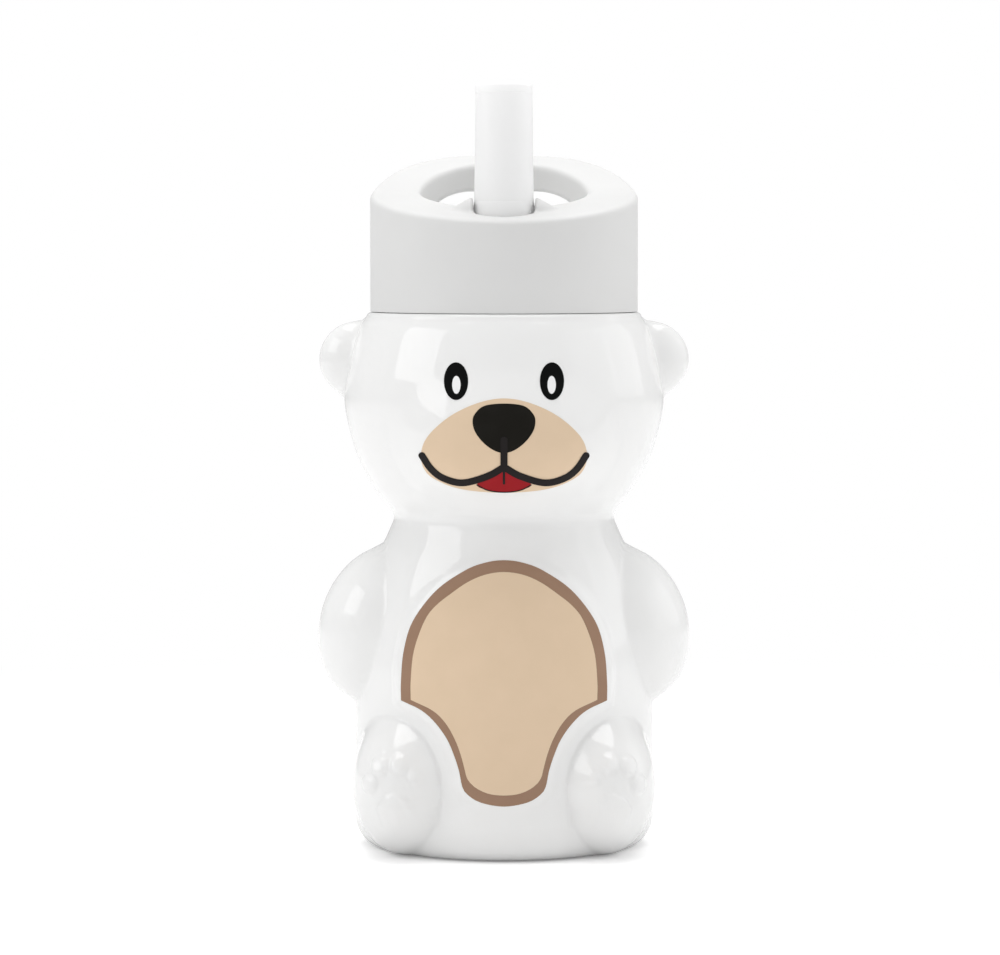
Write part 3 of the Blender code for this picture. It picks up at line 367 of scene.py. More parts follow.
def ball(name, centre, radii, sides=64):
    pickOnly(None)
    bpy.ops.mesh.primitive_uv_sphere_add(segments=sides, ring_count=sides // 2, radius=1.0, location=centre,
                                         scale=radii)
    piece = added(name)
    applyPlace(piece)
    return piece


def windingBead(name, bead, pitch, turns, bottom, sink, steps=64):
    # a round bead wound up by the Screw modifier, whose ends run into the wall
    pickOnly(None)
    bpy.ops.mesh.primitive_circle_add(vertices=14, radius=bead["size"], location=(bead["radius"], 0.0, bottom),
                                      rotation=(math.radians(90), 0.0, 0.0))
    piece = added(name)
    applyPlace(piece)
    count = round(turns * steps)
    finishWith(piece, "SCREW", axis="Z", angle=math.tau * turns, screw_offset=pitch * turns, steps=count,
               render_steps=count, use_smooth_shade=True)
    editAll(piece)
    bpy.ops.mesh.fill_holes(sides=0)
    bpy.ops.mesh.select_all(action="SELECT")
    bpy.ops.mesh.normals_make_consistent(inside=False)
    endEdit()
    points = vertexArray(piece)
    angle = np.arctan2(points[:, 1], points[:, 0])
    turn = (points[:, 2] - bottom) / pitch
    turn = np.round(turn - angle / math.tau) + angle / math.tau
    left = np.clip(1 - np.minimum(turn, turns - turn) / bead["runOut"], 0, 1)
    radius = np.hypot(points[:, 0], points[:, 1])
    points[:, :2] *= ((radius + sink * left) / radius)[:, None]
    setVertices(piece, points)
    return piece


def dress(piece, body, slot, finish, *nodes, sharp=40):
    piece.data.materials.clear()
    piece.data.materials.append(finish)
    pickOnly(piece)
    bpy.ops.object.shade_smooth_by_angle(angle=math.radians(sharp))
    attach(piece, body)
    if nodes:
        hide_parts(*nodes)


def knotBeyond(end, inner, level):
    # a curve that is level at the axis goes on as its own mirror image
    return inner * (-1, 1) if level and end[0] == 0 else 2 * end - inner


def curveThrough(points, spacing, level=False):
    # a smooth curve through the given points
    knots = [np.array(p, float) for p in points]
    first, last = knotBeyond(knots[0], knots[1], level), knotBeyond(knots[-1], knots[-2], level)
    knots = [first] + knots + [last]
    found = [knots[1]]
    for before, start, end, after in zip(knots, knots[1:], knots[2:], knots[3:]):
        count = max(1, round(float(np.linalg.norm(end - start)) / spacing))
        for t in np.arange(1, count + 1) / count:
            bend = 2 * before - 5 * start + 4 * end - after
            twist = 3 * start - before - 3 * end + after
            found.append((2 * start + (end - before) * t + bend * t**2 + twist * t**3) / 2)
    return [tuple(float(v) for v in p) for p in found]


def arc(centre, radii, fromAngle, toAngle, steps):
    angles = np.radians(np.linspace(fromAngle, toAngle, steps + 1))
    return [(centre[0] + radii[0] * math.cos(a), centre[1] + radii[1] * math.sin(a)) for a in angles]


def mirrored(half):
    return list(half) + [(-x, z) for x, z in reversed(half[1:-1])]


def grown(outline, distance):
    points = np.array(outline)
    along = np.roll(points, -1, axis=0) - np.roll(points, 1, axis=0)
    along /= np.linalg.norm(along, axis=1)[:, None]
    outward = np.stack([-along[:, 1], along[:, 0]], axis=1)
    return [tuple(float(v) for v in p) for p in points + outward * distance]


# body: blow-moulded shell with ears, arms, feet, muzzle, belly pad and paw marks
body = dict(
    baseRadius=0.0283, baseCornerWidth=0.0053, baseCornerHeight=0.0078, baseTop=0.0118, torsoRadius=0.0334,
    torsoHeight=0.0739, waistRadius=0.0247, headHeight=0.045, headRadius=0.03558, shoulderRadius=0.0307,
    shoulderWide=0.0012, shoulderTall=0.0012, wall=0.0015, limbWall=0.0022, rimEase=0.04,
    torsoTaper=((0.43, 1.0), (0.61, 0.93), (0.77, 0.67), (0.88, 0.38), (0.95, 0.11), (1.0, 0.0)),
    headRise=((0.1, 0.31), (0.226, 0.62), (0.356, 0.83), (0.56, 1.0)),
    headFall=((0.74, 0.2), (0.92, 0.66), (0.974, 1.0)),
    columns=384, row=0.00055, lowRows=0.034, cornerLength=0.011, insideRow=0.004, frontGather=0.28,
    sideGather=0.17, partingRidge=0.00004, seamWidth=0.000001,
)
limbs = dict(
    earRadius=0.0086, earDepth=0.006, earReach=0.0412, earDrop=0.0106, earCrease=0.0024,
    armLength=0.018, armWidth=0.013, armDepth=0.0158, armReach=0.04165, armForward=0.0015, armDrop=0.0244,
    armLean=math.radians(18), armCrease=0.003,
    footWidth=0.0116, footHeight=0.0155, footLength=0.016, footSpread=0.0218, footLevel=0.0155,
    footFront=0.0343, footCrease=0.0045,
    muzzleWidth=0.0232, muzzleHeight=0.0175, muzzleDepth=0.0185, muzzleFront=0.0387, muzzleDrop=0.0261,
    muzzleCrease=0.0036,
)
relief = dict(
    padHeight=0.0009, padMargin=0.0026, padEdge=0.0024,
    pawHeight=0.0008, pawEdge=0.0008, pawX=0.0234, pawZ=0.0118, pawWidth=0.0044, pawTall=0.0034, pawDent=0.0016,
    toeWidth=0.0015, toeTall=0.0019,
    toes=((0.0058, 0.0052), (0.0036, 0.0093), (-0.0007, 0.0098), (-0.0045, 0.0072)),
)
neck = dict(
    radius=0.026, wall=0.0018, height=0.0113, chamfer=0.0004, row=0.0004,
    pitch=0.004, turns=1.25, bead=0.0009, rise=0.0002, start=0.004, runOut=0.12, beadPower=2.4,
)
shoulderTop = body["torsoHeight"] + body["headHeight"]
neckTop = shoulderTop + neck["height"]
headCentre = body["torsoHeight"] + body["headHeight"] / 2

belly = dict(
    spacing=0.001, padSpacing=0.0035,
    upper=((0.0, 0.0656), (0.0043, 0.065), (0.0087, 0.0632), (0.0148, 0.0588), (0.0198, 0.0521),
           (0.0218, 0.0456), (0.0224, 0.0391), (0.0224, 0.0348)),
    lower=((0.0224, 0.0348), (0.0179, 0.033), (0.0148, 0.0304), (0.0123, 0.027), (0.0108, 0.0236),
           (0.0097, 0.0202), (0.009, 0.0168), (0.0078, 0.0151), (0.005, 0.0135), (0.0, 0.0127)),
)
patch = dict(
    spacing=0.001,
    upper=((0.0, 0.0631), (0.0041, 0.0625), (0.0078, 0.0609), (0.0114, 0.0584), (0.0148, 0.0556),
           (0.0172, 0.0523), (0.0195, 0.0458), (0.0202, 0.0393), (0.0202, 0.0351)),
    lower=((0.0202, 0.0351), (0.0154, 0.0331), (0.0126, 0.0305), (0.0106, 0.0271), (0.0093, 0.0237),
           (0.0084, 0.0203), (0.0079, 0.0186), (0.0064, 0.0169), (0.0035, 0.0155), (0.0, 0.0151)),
)


def cornered(shape, spacing):
    # a closed outline whose upper and lower curves meet in a corner on each side
    upper = curveThrough(shape["upper"], spacing, level=True)
    return mirrored(upper[:-1] + curveThrough(shape["lower"], spacing, level=True))


def sideOutline(inset, row):
    # from the shoulder down to the base
    taper = body["torsoRadius"] - body["waistRadius"]
    swell = body["headRadius"] - body["waistRadius"]
    fall = body["headRadius"] - body["shoulderRadius"]
    waist, torsoHeight, headHeight = body["waistRadius"], body["torsoHeight"], body["headHeight"]
    points = [(body["torsoRadius"], body["baseTop"])]
    points += [(waist + taper * r, torsoHeight * z) for z, r in body["torsoTaper"]]
    points += [(waist + swell * r, torsoHeight + headHeight * z) for z, r in body["headRise"]]
    points += [(body["headRadius"] - fall * r, torsoHeight + headHeight * z) for z, r in body["headFall"]]
    side = curveThrough(points, row)[::-1]
    side = [point for i, point in enumerate(side) if point[1] < body["lowRows"] or i % 2 == 0]
    corner = (body["baseCornerWidth"], body["baseCornerHeight"])
    cornerSteps = max(5, round(body["cornerLength"] / row))
    base = arc((body["baseRadius"], body["baseCornerHeight"]), corner, 0, -90, cornerSteps)
    line = np.array(side + base)
    along = np.gradient(line, axis=0)
    along /= np.linalg.norm(along, axis=1)[:, None]
    inward = np.stack([along[:, 1], -along[:, 0]], axis=1)
    wide, tall = [max(size - inset, size / 4) for size in (body["shoulderWide"], body["shoulderTall"])]
    top = shoulderTop - inset - tall
    shoulder = arc((body["shoulderRadius"] - inset - wide, top), (wide, tall), 90, 10, 9)
    return shoulder + [(float(r), float(z)) for r, z in line + inward * inset if z < top]


def bodyOutline():
    outer = sideOutline(0.0, body["row"])
    inner = sideOutline(body["wall"], body["insideRow"])
    radius, bore, chamfer = neck["radius"], neck["radius"] - neck["wall"], neck["chamfer"]
    rings = max(2, round((neck["height"] - chamfer) / neck["row"]))
    outside = [(radius, z) for z in np.linspace(shoulderTop, neckTop - chamfer, rings)]
    rim = [(radius - chamfer, neckTop), (bore + chamfer, neckTop), (bore, neckTop - chamfer)]
    downInside = [(bore, shoulderTop - body["wall"])] + inner + [(0.0, body["wall"])]
    return [(0.0, 0.0)] + outer[::-1] + outside + rim + downInside, len(outer) + 1


def gathered(points):
    # the columns lie closest at the sides and the front
    angle = np.arctan2(points[:, 0], -points[:, 1])
    radius = np.hypot(points[:, 0], points[:, 1])
    angle = angle - body["frontGather"] * np.sin(angle) + body["sideGather"] * np.sin(2 * angle)
    return np.stack([radius * np.sin(angle), -radius * np.cos(angle), points[:, 2]], axis=1)


def headLobes(inset):
    muzzle = (0.0, limbs["muzzleDepth"] - limbs["muzzleFront"], shoulderTop - limbs["muzzleDrop"])
    muzzleSize = np.array((limbs["muzzleWidth"], limbs["muzzleDepth"], limbs["muzzleHeight"])) - inset
    earSize = np.array((limbs["earRadius"], limbs["earDepth"], limbs["earRadius"])) - inset
    found = [(muzzle, muzzleSize, 0.0, limbs["muzzleCrease"])]
    for side in (-1, 1):
        ear = (side * (limbs["earReach"] - limbs["earRadius"]), 0.0, shoulderTop - limbs["earDrop"])
        found.append((ear, earSize, 0.0, limbs["earCrease"]))
    return found


def torsoLobes(inset):
    lean = limbs["armLean"]
    extent = math.hypot(limbs["armWidth"] * math.cos(lean), limbs["armLength"] * math.sin(lean))
    armSize = np.array((limbs["armWidth"], limbs["armDepth"], limbs["armLength"])) - inset
    footSize = np.array((limbs["footWidth"], limbs["footLength"], limbs["footHeight"])) - inset
    armHeight = body["torsoHeight"] - limbs["armDrop"]
    found = []
    for side in (-1, 1):
        arm = (side * (limbs["armReach"] - extent), -limbs["armForward"], armHeight)
        foot = (side * limbs["footSpread"], limbs["footLength"] - limbs["footFront"], limbs["footLevel"])
        found.append((arm, armSize, -side * lean, limbs["armCrease"]))
        found.append((foot, footSize, 0.0, limbs["footCrease"]))
    return found


def swollen(points, origins, lobes):
    # points go out along rays from the axis to the lobes' skins, with a soft crease between lobe and body
    origins = np.broadcast_to(origins, points.shape)
    rays = points - origins
    reach = np.linalg.norm(rays, axis=1)
    rays = rays / reach[:, None]
    for centre, radii, lean, crease in lobes:
        turn = np.array([[math.cos(lean), 0, -math.sin(lean)], [0, 1, 0], [math.sin(lean), 0, math.cos(lean)]])
        start = ((origins - centre) @ turn.T) / radii
        step = (rays @ turn.T) / radii
        a = (step * step).sum(axis=1)
        b = (start * step).sum(axis=1)
        chord = (b * b - a * ((start * start).sum(axis=1) - 1)) / a
        chord *= np.sqrt((1 + body["rimEase"]) / (np.abs(chord) + body["rimEase"]))
        far = -b / a + chord / np.sqrt(a)
        overlap = np.clip(1 - np.abs(reach - far) / crease, 0, None)
        reach = np.maximum(reach, far) + crease * overlap**2 / 4
    return origins + rays * reach[:, None]


def eased(share):
    share = np.clip(share, 0, 1)
    return share * share * (3 - 2 * share)


def depthInside(points, outline):
    start = np.array(outline)
    end = np.roll(start, -1, axis=0)
    edge = end - start
    depth = np.empty(len(points))
    for first in range(0, len(points), batchSize):
        part = points[first:first + batchSize]
        away = part[:, None, :] - start[None]
        share = np.clip((away * edge).sum(axis=2) / (edge * edge).sum(axis=1), 0, 1)
        nearest = np.linalg.norm(away - share[..., None] * edge, axis=2).min(axis=1)
        crosses = (start[None, :, 1] > part[:, 1:2]) != (end[None, :, 1] > part[:, 1:2])
        rise = np.where(edge[:, 1] == 0, 1, edge[:, 1])
        at = start[None, :, 0] + (part[:, 1:2] - start[None, :, 1]) * edge[:, 0] / rise
        inside = (crosses & (part[:, 0:1] < at)).sum(axis=1) % 2 == 1
        depth[first:first + batchSize] = np.where(inside, nearest, -nearest)
    return depth


def bellyLift(points):
    outline = grown(cornered(belly, belly["padSpacing"]), relief["padMargin"])
    inside = depthInside(points[:, [0, 2]], outline)
    return relief["padHeight"] * eased(inside / relief["padEdge"]) * (points[:, 1] < 0)


def pawLift(points):
    # a broad sole pad with a dented top edge and four toes on each foot
    lift = np.zeros(len(points))
    for side in (-1, 1):
        x = side * points[:, 0] - relief["pawX"]
        z = points[:, 2] - relief["pawZ"]
        across = x / relief["pawWidth"]
        sole = 1 - np.hypot(across, (z + relief["pawDent"] * across**2) / relief["pawTall"])
        spots = [sole * relief["pawTall"]]
        for toeX, toeZ in relief["toes"]:
            toe = 1 - np.hypot((x - toeX) / relief["toeWidth"], (z - toeZ) / relief["toeTall"])
            spots.append(toe * relief["toeWidth"])
        for spot in spots:
            lift = np.maximum(lift, relief["pawHeight"] * eased(0.5 + spot / relief["pawEdge"]))
    return lift * (points[:, 1] < 0)


def threadLift(points):
    angle = np.arctan2(points[:, 1], points[:, 0]) % math.tau / math.tau
    lift = np.zeros(len(points))
    for lap in range(math.ceil(neck["turns"])):
        turn = angle + lap
        middle = shoulderTop + neck["start"] + neck["pitch"] * turn
        away = np.clip(np.abs(points[:, 2] - middle) / neck["bead"], 0, 1)
        inEnd = np.clip(np.minimum(turn, neck["turns"] - turn) / neck["runOut"], 0, 1)
        bead = (neck["rise"] + neck["bead"]) * (1 - away**neck["beadPower"]) * np.sqrt(inEnd)
        lift = np.maximum(lift, np.where(turn <= neck["turns"], bead, 0.0))
    return lift


def outward(points):
    # unit vectors from the bottle's axis
    out = points * (1, 1, 0)
    return out / np.linalg.norm(out, axis=1)[:, None]


def buildBody():
    outline, outerCount = bodyOutline()
    piece = turnedPiece("bear_body", outline, body["columns"])
    points = vertexArray(piece)
    radius = np.hypot(points[:, 0], points[:, 1])
    onOutline = np.array(outline)
    nearest = np.empty(len(points), int)
    for first in range(0, len(points), batchSize):
        part = slice(first, first + batchSize)
        away = (radius[part, None] - onOutline[:, 0])**2 + (points[part, 2, None] - onOutline[:, 1])**2
        nearest[part] = away.argmin(axis=1)
    outer = nearest < outerCount
    points = gathered(points)
    for skin, inset, limbInset in ((outer, 0.0, 0.0), (~outer, body["wall"], body["limbWall"])):
        height = points[:, 2]
        torso = skin & (height > inset + levelStep) & (height < body["torsoHeight"])
        head = skin & (height >= body["torsoHeight"]) & (height < shoulderTop - inset - levelStep)
        points[torso] = swollen(points[torso], points[torso] * (0, 0, 1), torsoLobes(limbInset))
        points[head] = swollen(points[head], np.array((0, 0, headCentre)), headLobes(limbInset))
        if inset == 0.0:
            for lift in (bellyLift, pawLift):
                points[torso] += outward(points[torso]) * lift(points[torso])[:, None]
            seam = (torso | head) & (np.abs(points[:, 1]) < body["seamWidth"])
            points[seam, 0] += np.sign(points[seam, 0]) * body["partingRidge"]
    wound = points[:, 2] > shoulderTop + levelStep
    wound &= np.hypot(points[:, 0], points[:, 1]) > neck["radius"] - levelStep
    points[wound] += outward(points[wound]) * threadLift(points[wound])[:, None]
    setVertices(piece, points)
    dress(piece, "body", "body_plastic", finishes["body_plastic"], "bottle", sharp=50)
    return piece


bearBody = buildBody()
print("body is shaped:", len(bearBody.data.polygons), "faces")

# cap: screw cap with a sloping top, a round recess, a carrying loop and room for the folded spout
cap = dict(
    radius=0.0298, wall=0.002, shoulderGap=0.00012, edgeFillet=0.0011, frontHeight=0.0201, middleRise=0.0062,
    rearRise=0.0154, bend=0.6, recessRadius=0.0185, recessOffset=0.003, recessFillet=0.0011,
    floorThickness=0.0032, floorFillet=0.001, wellFloor=0.0012, gasket=0.0016, gap=0.0003,
    windowHalfWidth=0.0178, windowHeight=0.0104, windowCornerWide=0.0105, windowCornerTall=0.0078,
    sillCorner=0.001, knuckleLength=0.0044, knuckleDepth=0.0046, knuckleHeight=0.0038, knuckleEnd=0.38,
    knuckleGap=0.00005, sinkDepth=0.0004, sinkAbove=0.0012, sinkWidth=0.0022, sinkLean=math.radians(6),
    sinkSpare=0.0001, slotSpare=0.0002, skirtSpare=0.0015, cutBeyond=0.002, columns=192, voxel=0.00045,
    softening=2, trimThreshold=0.000001,
)
spout = dict(
    forward=0.0175, ballRadius=0.0066, ballGap=0.0004, sideGap=0.00013, tipRadius=0.00625, length=0.0286,
    lipDrop=0.0023, lipStep=0.00012, tipRounding=0.0009, boreRounding=0.0004, bore=0.0033, tipBore=0.0037,
    boreStep=0.0149, stepHalf=0.0002, ballBore=0.0045, seatBore=0.0024, seatRadius=0.004, seatDepth=0.0024,
    pinRadius=0.0018, pinLength=0.0013, pinGap=0.0004, pinRoot=0.001, pinBevel=0.0003,
    foldAngle=math.radians(76), endGap=0.001, strawRadius=0.0035, socketDepth=0.0075, socketWall=0.0022,
    socketLedge=0.0013, collar=0.0026, columns=96,
)
vent = dict(
    x=0.0125, y=0.001, stem=0.001, flange=0.0032, flangeThickness=0.0008, bulb=0.0018, domeStart=0.0004,
    domeHeight=0.001, bevel=0.00015, columns=48,
)
capBottom = shoulderTop + cap["shoulderGap"]
ceiling = neckTop + cap["gap"] + cap["gasket"] + cap["gap"]
recessFloor = ceiling + cap["floorThickness"]
pivotHeight = ceiling + cap["wellFloor"] + spout["ballRadius"] + spout["ballGap"]
pivot = Vector((0.0, -spout["forward"], pivotHeight))
seatFloor = pivotHeight - spout["ballRadius"] - spout["seatDepth"] - 2 * cap["gap"]
socketTop = seatFloor - spout["socketLedge"]
socketBottom = socketTop - spout["socketDepth"]
wellRadius = spout["ballRadius"] + spout["sideGap"]


def capTop(y):
    share = y / cap["radius"]
    middle = capBottom + cap["frontHeight"] + cap["middleRise"]
    rear = (cap["rearRise"] - cap["middleRise"]) * ((1 - cap["bend"]) * share + cap["bend"] * eased(share))
    return middle + np.where(share < 0, cap["middleRise"] * share, rear)


def capBlank():
    level = capBottom + cap["frontHeight"] + cap["middleRise"]
    inner = cap["radius"] - cap["wall"]
    rimRadius = cap["recessRadius"] + cap["recessFillet"]
    low, fillet, edge = cap["floorFillet"], cap["recessFillet"], cap["edgeFillet"]
    outline = [(r, recessFloor) for r in np.linspace(0.0, cap["recessRadius"] - 2 * low, 5)]
    outline += arc((cap["recessRadius"] - low, recessFloor + low), (low, low), -90, 0, 6)
    outline += arc((rimRadius, level - fillet), (fillet, fillet), 180, 90, 10)
    outline += [(r, level) for r in np.linspace(rimRadius, cap["radius"] - edge, 9)[1:-1]]
    outline += arc((cap["radius"] - edge, level - edge), (edge, edge), 90, 0, 10)
    skirtLow = capBottom - cap["skirtSpare"]
    outline += [(cap["radius"], skirtLow), (inner, skirtLow), (inner, ceiling), (0.0, ceiling)]
    piece = turnedPiece("screw_cap", outline, cap["columns"])
    points = vertexArray(piece)
    radius = np.hypot(points[:, 0], points[:, 1])
    raisedPart = points[:, 2] > recessFloor - levelStep
    shift = np.where(radius < rimRadius, 1.0, (cap["radius"] - radius) / (cap["radius"] - rimRadius))
    points[:, 1] += cap["recessOffset"] * np.clip(shift, 0, None) * raisedPart
    sloped = points[:, 2] > level - max(fillet, edge) - levelStep
    points[:, 2] += (capTop(points[:, 1]) - level) * sloped
    setVertices(piece, points)
    return piece


def windowPlate():
    half, lower = cap["windowHalfWidth"], cap["sillCorner"]
    wide, tall = cap["windowCornerWide"], cap["windowCornerTall"]
    top = recessFloor + cap["windowHeight"]
    sill = recessFloor + levelStep
    outline = [(0.0, top)] + arc((half - wide, top - tall), (wide, tall), 90, 0, 20)
    outline += arc((half - lower, sill + lower), (lower, lower), 0, -90, 4) + [(0.0, sill)]
    plate = shapedPlate("window_cutter", mirrored(outline), 2 * cap["radius"])
    editAll(plate)
    away = cap["radius"] + cap["recessOffset"] + cap["recessRadius"] / 4
    bpy.ops.transform.translate(value=(0.0, away, 0.0))
    endEdit()
    return plate


def slotPlate():
    # room for the nozzle between standing up and folded back
    reach = spout["length"] + spout["endGap"]
    outline = [(-spout["forward"], pivotHeight)]
    outline += arc(outline[0], (reach, reach), 90, 90 - math.degrees(spout["foldAngle"]), 24)
    plate = shapedPlate("slot_cutter", outline, 2 * wellRadius - cap["slotSpare"])
    points = vertexArray(plate)
    setVertices(plate, points[:, [1, 0, 2]])
    editAll(plate)
    bpy.ops.mesh.normals_make_consistent(inside=False)
    endEdit()
    return plate


def underSpout(name, radius, bottom, top, sides=48):
    return rod(name, radius, (0.0, -spout["forward"], bottom), (0.0, -spout["forward"], top), sides)


def spoutSink():
    # the rim of the spout's shaft is sunk at a slant, deepest at the front
    depth, above = cap["sinkDepth"], cap["sinkAbove"]
    lean = math.atan(cap["middleRise"] / cap["radius"]) + cap["sinkLean"]
    rim = Vector((0.0, -spout["forward"], float(capTop(-spout["forward"]))))
    middle = rim + Vector((0.0, -math.sin(lean), math.cos(lean))) * (above - depth) / 2
    pickOnly(None)
    bpy.ops.mesh.primitive_cone_add(
        vertices=96, radius1=wellRadius - cap["sinkSpare"], radius2=wellRadius + cap["sinkWidth"],
        depth=depth + above, location=middle, rotation=(lean, 0.0, 0.0))
    cutter = added("sink_cutter")
    applyPlace(cutter)
    return cutter


def knuckleHalf(side):
    # a boss that slopes down from the spout like a ramp
    start = side * (wellRadius + cap["knuckleGap"])
    pickOnly(None)
    bpy.ops.mesh.primitive_cone_add(
        vertices=48, radius1=1.0, radius2=cap["knuckleEnd"], depth=cap["knuckleLength"],
        location=(start + side * cap["knuckleLength"] / 2, -spout["forward"], pivotHeight),
        rotation=(0.0, side * math.radians(90), 0.0), scale=(cap["knuckleHeight"], cap["knuckleDepth"], 1.0))
    half = added("knuckle")
    applyPlace(half)
    return half


def buildCap():
    piece = capBlank()
    inner = cap["radius"] - cap["wall"]
    bead = dict(size=neck["bead"], radius=inner - neck["rise"], runOut=neck["runOut"])
    beadBottom = shoulderTop + neck["start"] - neck["pitch"] / 2
    winding = windingBead("cap_thread", bead, neck["pitch"], neck["turns"], beadBottom, neck["bead"])
    carve(piece, winding, "UNION")
    carve(piece, spoutSink())
    for side in (-1, 1):
        carve(piece, knuckleHalf(side), "UNION")
    bossTop = ceiling + cap["floorThickness"] / 2
    socketRadius = spout["strawRadius"] + cap["gap"]
    carve(piece, underSpout("straw_socket", socketRadius + spout["socketWall"], socketBottom, bossTop), "UNION")
    fold = Vector((0.0, math.sin(spout["foldAngle"]), math.cos(spout["foldAngle"])))
    foldEnd = pivot + fold * (spout["length"] + spout["endGap"])
    pinReach = Vector((spout["ballRadius"] + spout["pinLength"] + spout["pinGap"], 0.0, 0.0))
    high = Vector((0.0, 0.0, 2 * cap["radius"]))
    carve(piece, ball("ball_well", pivot, (wellRadius,) * 3))
    carve(piece, rod("spout_shaft", wellRadius, pivot, pivot + high))
    carve(piece, slotPlate())
    carve(piece, rod("fold_trough", wellRadius, pivot, foldEnd))
    carve(piece, rod("pin_bore", spout["pinRadius"] + spout["pinGap"], pivot - pinReach, pivot + pinReach, 32))
    beyond = cap["cutBeyond"]
    carve(piece, underSpout("seat_pocket", spout["seatRadius"] + cap["gap"], seatFloor, pivotHeight))
    carve(piece, underSpout("drink_bore", spout["seatBore"], socketTop - beyond, pivotHeight))
    carve(piece, underSpout("straw_pocket", socketRadius, socketBottom - beyond, socketTop + cap["gap"]))
    carve(piece, windowPlate())
    ventLow, ventHigh = (vent["x"], vent["y"], ceiling - beyond), (vent["x"], vent["y"], recessFloor + beyond)
    carve(piece, rod("vent_hole", vent["stem"] + cap["gap"], ventLow, ventHigh, 24))
    finishWith(piece, "REMESH", mode="VOXEL", voxel_size=cap["voxel"], adaptivity=0.0)
    finishWith(piece, "SMOOTH", factor=0.5, iterations=cap["softening"])
    editAll(piece)
    bpy.ops.mesh.bisect(
        plane_co=(0.0, 0.0, capBottom), plane_no=(0.0, 0.0, 1.0), use_fill=True, clear_inner=True,
        threshold=cap["trimThreshold"])
    endEdit()
    dress(piece, "lid", "cap_plastic", finishes["cap_plastic"], "cap", sharp=80)
    return piece


screwCap = buildCap()
print("cap is shaped:", len(screwCap.data.polygons), "faces")


# spout: a ball end with two pins, a nozzle with a fine lip, and a stepped bore
def buildSpout():
    tip, lip = spout["length"], spout["length"] - spout["lipDrop"]
    rounding, tipRadius, lipStep = spout["tipRounding"], spout["tipRadius"], spout["lipStep"]
    ballRadius, collar = spout["ballRadius"], spout["collar"]
    seatBore, bore, tipBore = spout["seatBore"], spout["bore"], spout["tipBore"]
    boreStep, stepHalf, inner = spout["boreStep"], spout["stepHalf"], spout["boreRounding"]
    lowAngle = math.degrees(math.asin(seatBore / ballRadius)) - 90
    outline = arc((0.0, 0.0), (ballRadius, ballRadius), lowAngle, 0, 20)
    outline += [(ballRadius, collar - lipStep)]
    outline += [(ballRadius - (ballRadius - tipRadius) * z / lip - lipStep / 2, z)
                for z in np.linspace(collar, lip - lipStep, 12)]
    outline += [(tipRadius - lipStep, lip - 0.5 * lipStep), (tipRadius, lip + lipStep)]
    outline += arc((tipRadius - rounding, tip - rounding), (rounding, rounding), 0, 90, 8)
    outline += arc((tipBore + inner, tip - inner), (inner, inner), 90, 180, 4)
    outline += [(tipBore, boreStep + stepHalf), (bore, boreStep - stepHalf)]
    outline += [(bore, -spout["ballBore"] + bore - seatBore), (seatBore, -spout["ballBore"])]
    outline = [(r, z + pivotHeight) for r, z in outline]
    piece = turnedPiece("flip_spout", outline, spout["columns"], closed=True)
    editAll(piece)
    bpy.ops.transform.translate(value=(0.0, -spout["forward"], 0.0))
    endEdit()
    for side in (-1, 1):
        inside = pivot + Vector((side * (ballRadius - spout["pinRoot"]), 0.0, 0.0))
        outside = pivot + Vector((side * (ballRadius + spout["pinLength"]), 0.0, 0.0))
        pin = rod("pin", spout["pinRadius"], inside, outside, 32)
        finishWith(pin, "BEVEL", width=spout["pinBevel"], segments=2, limit_method="ANGLE")
        carve(piece, pin, "UNION")
    dress(piece, "spout", "spout_plastic", finishes["spout_plastic"], "spout", sharp=35)


buildSpout()


# vent valve: a flange under the recess floor, a stem and a domed bulb
def buildVent():
    flangeTop = ceiling - cap["gap"]
    flangeLow = flangeTop - vent["flangeThickness"]
    bulbLow = recessFloor + cap["gap"]
    domeLow = bulbLow + vent["domeStart"]
    outline = arc((0.0, domeLow), (vent["bulb"], vent["domeHeight"]), 90, 0, 10)
    outline[0] = (0.0, domeLow + vent["domeHeight"])
    outline += [(vent["bulb"], bulbLow), (vent["stem"], bulbLow), (vent["stem"], flangeTop)]
    outline += [(vent["flange"], flangeTop), (vent["flange"], flangeLow), (0.0, flangeLow)]
    piece = turnedPiece("vent_bulb", outline, vent["columns"])
    editAll(piece)
    bpy.ops.transform.translate(value=(vent["x"], vent["y"], 0.0))
    endEdit()
    finishWith(piece, "BEVEL", width=vent["bevel"], segments=2, limit_method="ANGLE",
               angle_limit=math.radians(40))
    dress(piece, "lid", "silicone", finishes["silicone"], "vent_valve")


buildVent()
for node, slot in (("straw", "straw_plastic"), ("cap_gasket", "silicone"), ("spout_seal", "silicone")):
    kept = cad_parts[node]
    kept.data.materials.clear()
    kept.data.materials.append(finishes[slot])
print("spout, vent and the hidden pieces are done")

# printed artwork, drawn seen from the front as (X, Z), the face measured from a level below the shoulder
face = dict(
    drop=0.0278, eyeX=0.0103, eyeRise=0.0135, eyeWidth=0.0026, eyeHeight=0.004,
    glintX=0.0102, glintRise=0.0127, glintWidth=0.0009, glintHeight=0.0019, mouthWidth=0.0015,
    tongueLine=0.0005, tongueEdge=0.00024, stemTop=0.00105, stemLow=-0.0046, fine=0.0005, middling=0.0006,
    broad=0.0008,
)
ink = dict(
    grid=0.0007, thickness=0.00004, weld=0.00001, startDistance=0.06,
    base=0.00005, over=0.00011, top=0.00017, last=0.00023,
)
faceLevel = shoulderTop - face["drop"]
muzzleHalf = ((0.0, 0.0099), (0.0059, 0.0088), (0.0119, 0.0058), (0.0166, 0.0013), (0.0179, -0.003),
              (0.0166, -0.0065), (0.0134, -0.0085), (0.0097, -0.0097), (0.005, -0.0103), (0.0, -0.0105))
